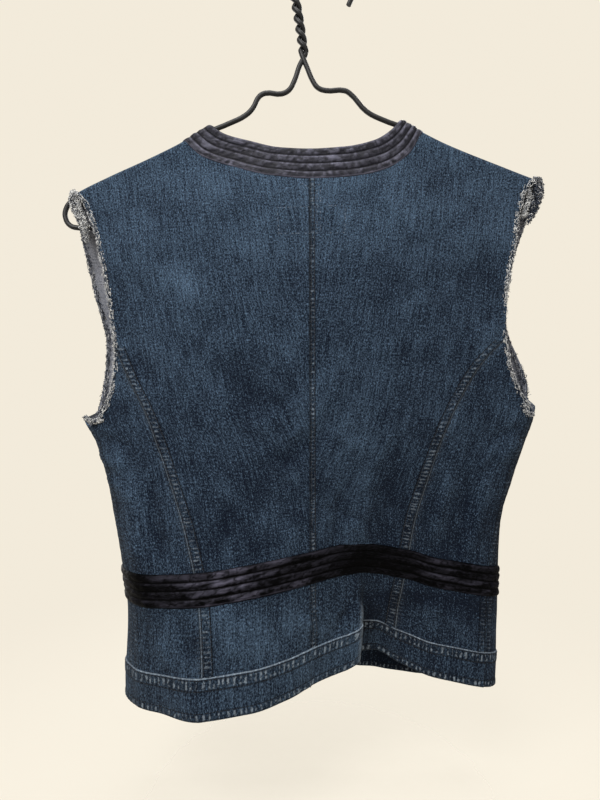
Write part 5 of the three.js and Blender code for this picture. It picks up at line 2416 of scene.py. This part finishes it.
@dataclass
class Hanger:
    """One coated wire: the hook, the twisted neck, the shoulders, and a plain lower bar."""

    finishes: Finishes
    radius: float = 2.2
    hook_radius: float = 27.2
    hook_rise: float = 25.0
    tip: float = 12.0
    below: float = DENIM / 2 + GAP + 2.2 + 0.9
    twist_top: Pair = (-5.0, 350.0)
    twist_bottom: Pair = (3.0, 303.0)
    twist_radius: float = 2.3
    turns: float = 2.5
    sides: int = 5

    def twist(self, t: float, phase: float) -> tuple[float, float, float]:
        """One strand of the twisted neck.

        Args:
            t: The share of the way down.
            phase: The strand's angle.

        Returns:
            The point.
        """
        angle = phase + t * self.turns * 2 * math.pi
        x = mix(self.twist_top[0], self.twist_bottom[0], t**0.8) + self.twist_radius * math.cos(angle)
        z = mix(self.twist_top[1], self.twist_bottom[1], t)
        return x, self.twist_radius * math.sin(angle), z

    def path(self) -> Array:
        """The wire's centre line, from the hook's tip round to the end of its other strand.

        Returns:
            The points.
        """
        hook_x, hook_z = SEAT_X + self.hook_radius, SEAT_Z - self.hook_rise
        line_points = [(hook_x - 3, 0, hook_z - self.tip), (hook_x - 0.6, 0, hook_z - self.tip / 2)]
        line_points += [
            (SEAT_X + self.hook_radius * math.cos(angle), 0, hook_z + self.hook_radius * math.sin(angle))
            for angle in np.linspace(0, math.pi, 15)
        ]
        strand = np.linspace(0, 1, 29)
        line_points += [self.twist(t, math.pi) for t in strand]
        left = (
            (-0.5, 290), (-5, 277), (-9.5, 269.3), (-16, 266), (-30, 266.5), (-35, 264), (-41, 253.5),
            (-47, 247.5), (-62, 240),
        )
        line_points += [(x, 0, z) for x, z in left]
        left_arm = (-79, -90, -102, -116, -130, -148, -165, -180, -191)
        line_points += [(x, 0, float(RIDGE(x)) - self.below) for x in left_arm]
        loops = (
            (-198.5, 172.5), (-203.5, 165), (-203.5, 157.5), (-199.5, 151.5), (-192, 149.5),
            (197, 164), (202, 165.5), (205, 169.5), (205.5, 175), (203, 181.5),
        )
        line_points += [(x, 0, z) for x, z in loops]
        right_arm = (197, 186, 174, 156, 139, 122, 107, 97, 88)
        line_points += [(x, 0, float(RIDGE(x)) - self.below) for x in right_arm]
        right = (
            (74, 242.5), (58, 250.5), (43, 266.5), (38.5, 268.8), (22.5, 268.8), (15.5, 271.3), (11, 277.5),
            (6.5, 288),
        )
        line_points += [(x, 0, z) for x, z in right]
        line_points += [self.twist(t, 0.0) for t in strand[::-1]]
        return np.array(line_points, float) - np.array([SEAT_X, 0, SEAT_Z])

    def build(self) -> Any:
        """Sweeps the wire, smooth through its bends.

        Returns:
            The object.
        """
        points = self.path()
        line_data = bpy.data.curves.new("hanger_line", "CURVE")
        line_data.dimensions = "3D"
        line_data.bevel_depth = self.radius * MM
        line_data.bevel_resolution = self.sides
        line_data.use_fill_caps = True
        line_data.resolution_u = 4
        spline = line_data.splines.new("BEZIER")
        spline.bezier_points.add(len(points) - 1)
        for knot, point in zip(spline.bezier_points, points):
            knot.co = point * MM
            knot.handle_left_type = knot.handle_right_type = "AUTO"
        draft = bpy.data.objects.new("hanger_draft", line_data)
        bpy.context.scene.collection.objects.link(draft)
        bpy.context.view_layer.update()
        mesh = bpy.data.meshes.new_from_object(draft)
        mesh.name = "hanger_wire"
        bpy.data.objects.remove(draft)
        return add_object("hanger_wire", mesh, [self.finishes.wire])

    def dress(self, piece: Any) -> None:
        """Gives the hanger its body, and hides the solid that it replaces.

        Args:
            piece: The wire.
        """
        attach(piece, "root")
        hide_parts("hanger")


@dataclass(frozen=True)
class FloorFinish:
    """A pale matt floor that fades out into the studio."""

    name: str = "pale_floor"
    reach: float = 0.95

    def build(self) -> Any:
        """Makes the material.

        Returns:
            The material.
        """
        make = Maker(self.name)
        place = make.object_space()
        far = make.add("ShaderNodeVectorMath", {"operation": "LENGTH"}, {0: place})
        distance = Value(make, far.outputs["Value"])
        grain = make.noise(place, 60.0, 3.0, 0.6)
        colour = make.blend(grain, tone(236, 231, 219), tone(240, 235, 224))
        make.set(Base_Color=colour, Roughness=0.85, Alpha=1 - distance.between(0.35, self.reach))
        return make.material


@dataclass
class Studio:
    """The camera at the photograph's place, soft lights, and a pale floor."""

    camera_place: tuple[float, float, float] = (-SEAT_X * MM, -0.502, -SEAT_Z * MM)
    lens: float = 26.0
    film_height: float = 36.0
    floor_height: float = -0.72
    seen: float = 0.97
    ambient: float = 0.38

    def add_camera(self) -> None:
        """Sets the camera up level, facing the back."""
        data = bpy.data.cameras.new("camera")
        data.lens = self.lens
        data.sensor_fit = "VERTICAL"
        data.sensor_height = self.film_height
        data.clip_start = 0.01
        camera = bpy.data.objects.new("camera", data)
        camera.location = self.camera_place
        camera.rotation_euler = (math.pi / 2, 0, 0)
        bpy.context.scene.collection.objects.link(camera)
        bpy.context.scene.camera = camera

    def add_light(self, name: str, place: tuple[float, float, float], size: float, power: float) -> None:
        """Adds a soft square light that faces the vest.

        Args:
            name: Its name.
            place: Where it is.
            size: Its width.
            power: Its watts.
        """
        data = bpy.data.lights.new(name, "AREA")
        data.shape = "SQUARE"
        data.size = size
        data.energy = power
        light = bpy.data.objects.new(name, data)
        light.location = place
        aim = Vector((0, 0, -0.36)) - Vector(place)
        light.rotation_euler = aim.to_track_quat("-Z", "Y").to_euler()
        bpy.context.scene.collection.objects.link(light)

    def add_floor(self) -> None:
        """Lays a wide round floor below the vest."""
        shape = bmesh.new()
        bmesh.ops.create_circle(shape, cap_ends=True, cap_tris=False, segments=96, radius=1.2)
        bmesh.ops.translate(shape, verts=shape.verts[:], vec=(0, 0, self.floor_height))
        add_object("floor", finished(shape, "floor"), [FloorFinish().build()])

    def add_world(self) -> None:
        """Surrounds everything with even pale light."""
        world = bpy.data.worlds.new("studio")
        world.use_nodes = True
        tree = world.node_tree
        seen_light, around_light = tree.nodes["Background"], tree.nodes.new("ShaderNodeBackground")
        for light, strength in ((seen_light, self.seen), (around_light, self.ambient)):
            light.inputs["Color"].default_value = tone(246, 238, 222)
            light.inputs["Strength"].default_value = strength
        ray, choice = tree.nodes.new("ShaderNodeLightPath"), tree.nodes.new("ShaderNodeMixShader")
        tree.links.new(ray.outputs["Is Camera Ray"], choice.inputs[0])
        tree.links.new(around_light.outputs[0], choice.inputs[1])
        tree.links.new(seen_light.outputs[0], choice.inputs[2])
        tree.links.new(choice.outputs[0], tree.nodes["World Output"].inputs["Surface"])
        bpy.context.scene.world = world
        bpy.context.scene.view_settings.view_transform = "Standard"

    def build(self) -> None:
        """Sets the whole studio up."""
        self.add_camera()
        self.add_world()
        self.add_floor()
        self.add_light("key", (-0.55, -0.95, 0.5), 0.7, 13.0)
        self.add_light("fill", (0.8, -1.0, -0.1), 1.2, 3.5)
        self.add_light("front_key", (0.55, 1.1, 0.5), 0.9, 15.0)
        self.add_light("front_fill", (-0.8, 1.0, -0.2), 1.2, 6.0)
        self.add_light("top", (0.0, -0.1, 0.9), 0.9, 8.0)


def main() -> None:
    """Builds the studio, the vest and its hanger in order."""
    logging.basicConfig(level=logging.INFO, format="%(message)s")
    Studio().build()
    finishes = Finishes()
    hanger = Hanger(finishes)
    hanger.dress(hanger.build())
    log.info("hanger made")
    panels, hem = DenimPanels(finishes), HemBands(finishes)
    stitches = Stitches(finishes, panels, hem)
    for part in (panels, SatinBands(finishes), hem, stitches, Fringes(finishes), Buttons(finishes)):
        made = part.build()
        part.dress(made)
        log.info("%s made: %s", type(part).__name__, ", ".join(made))


if __name__ == "__main__":
    main()
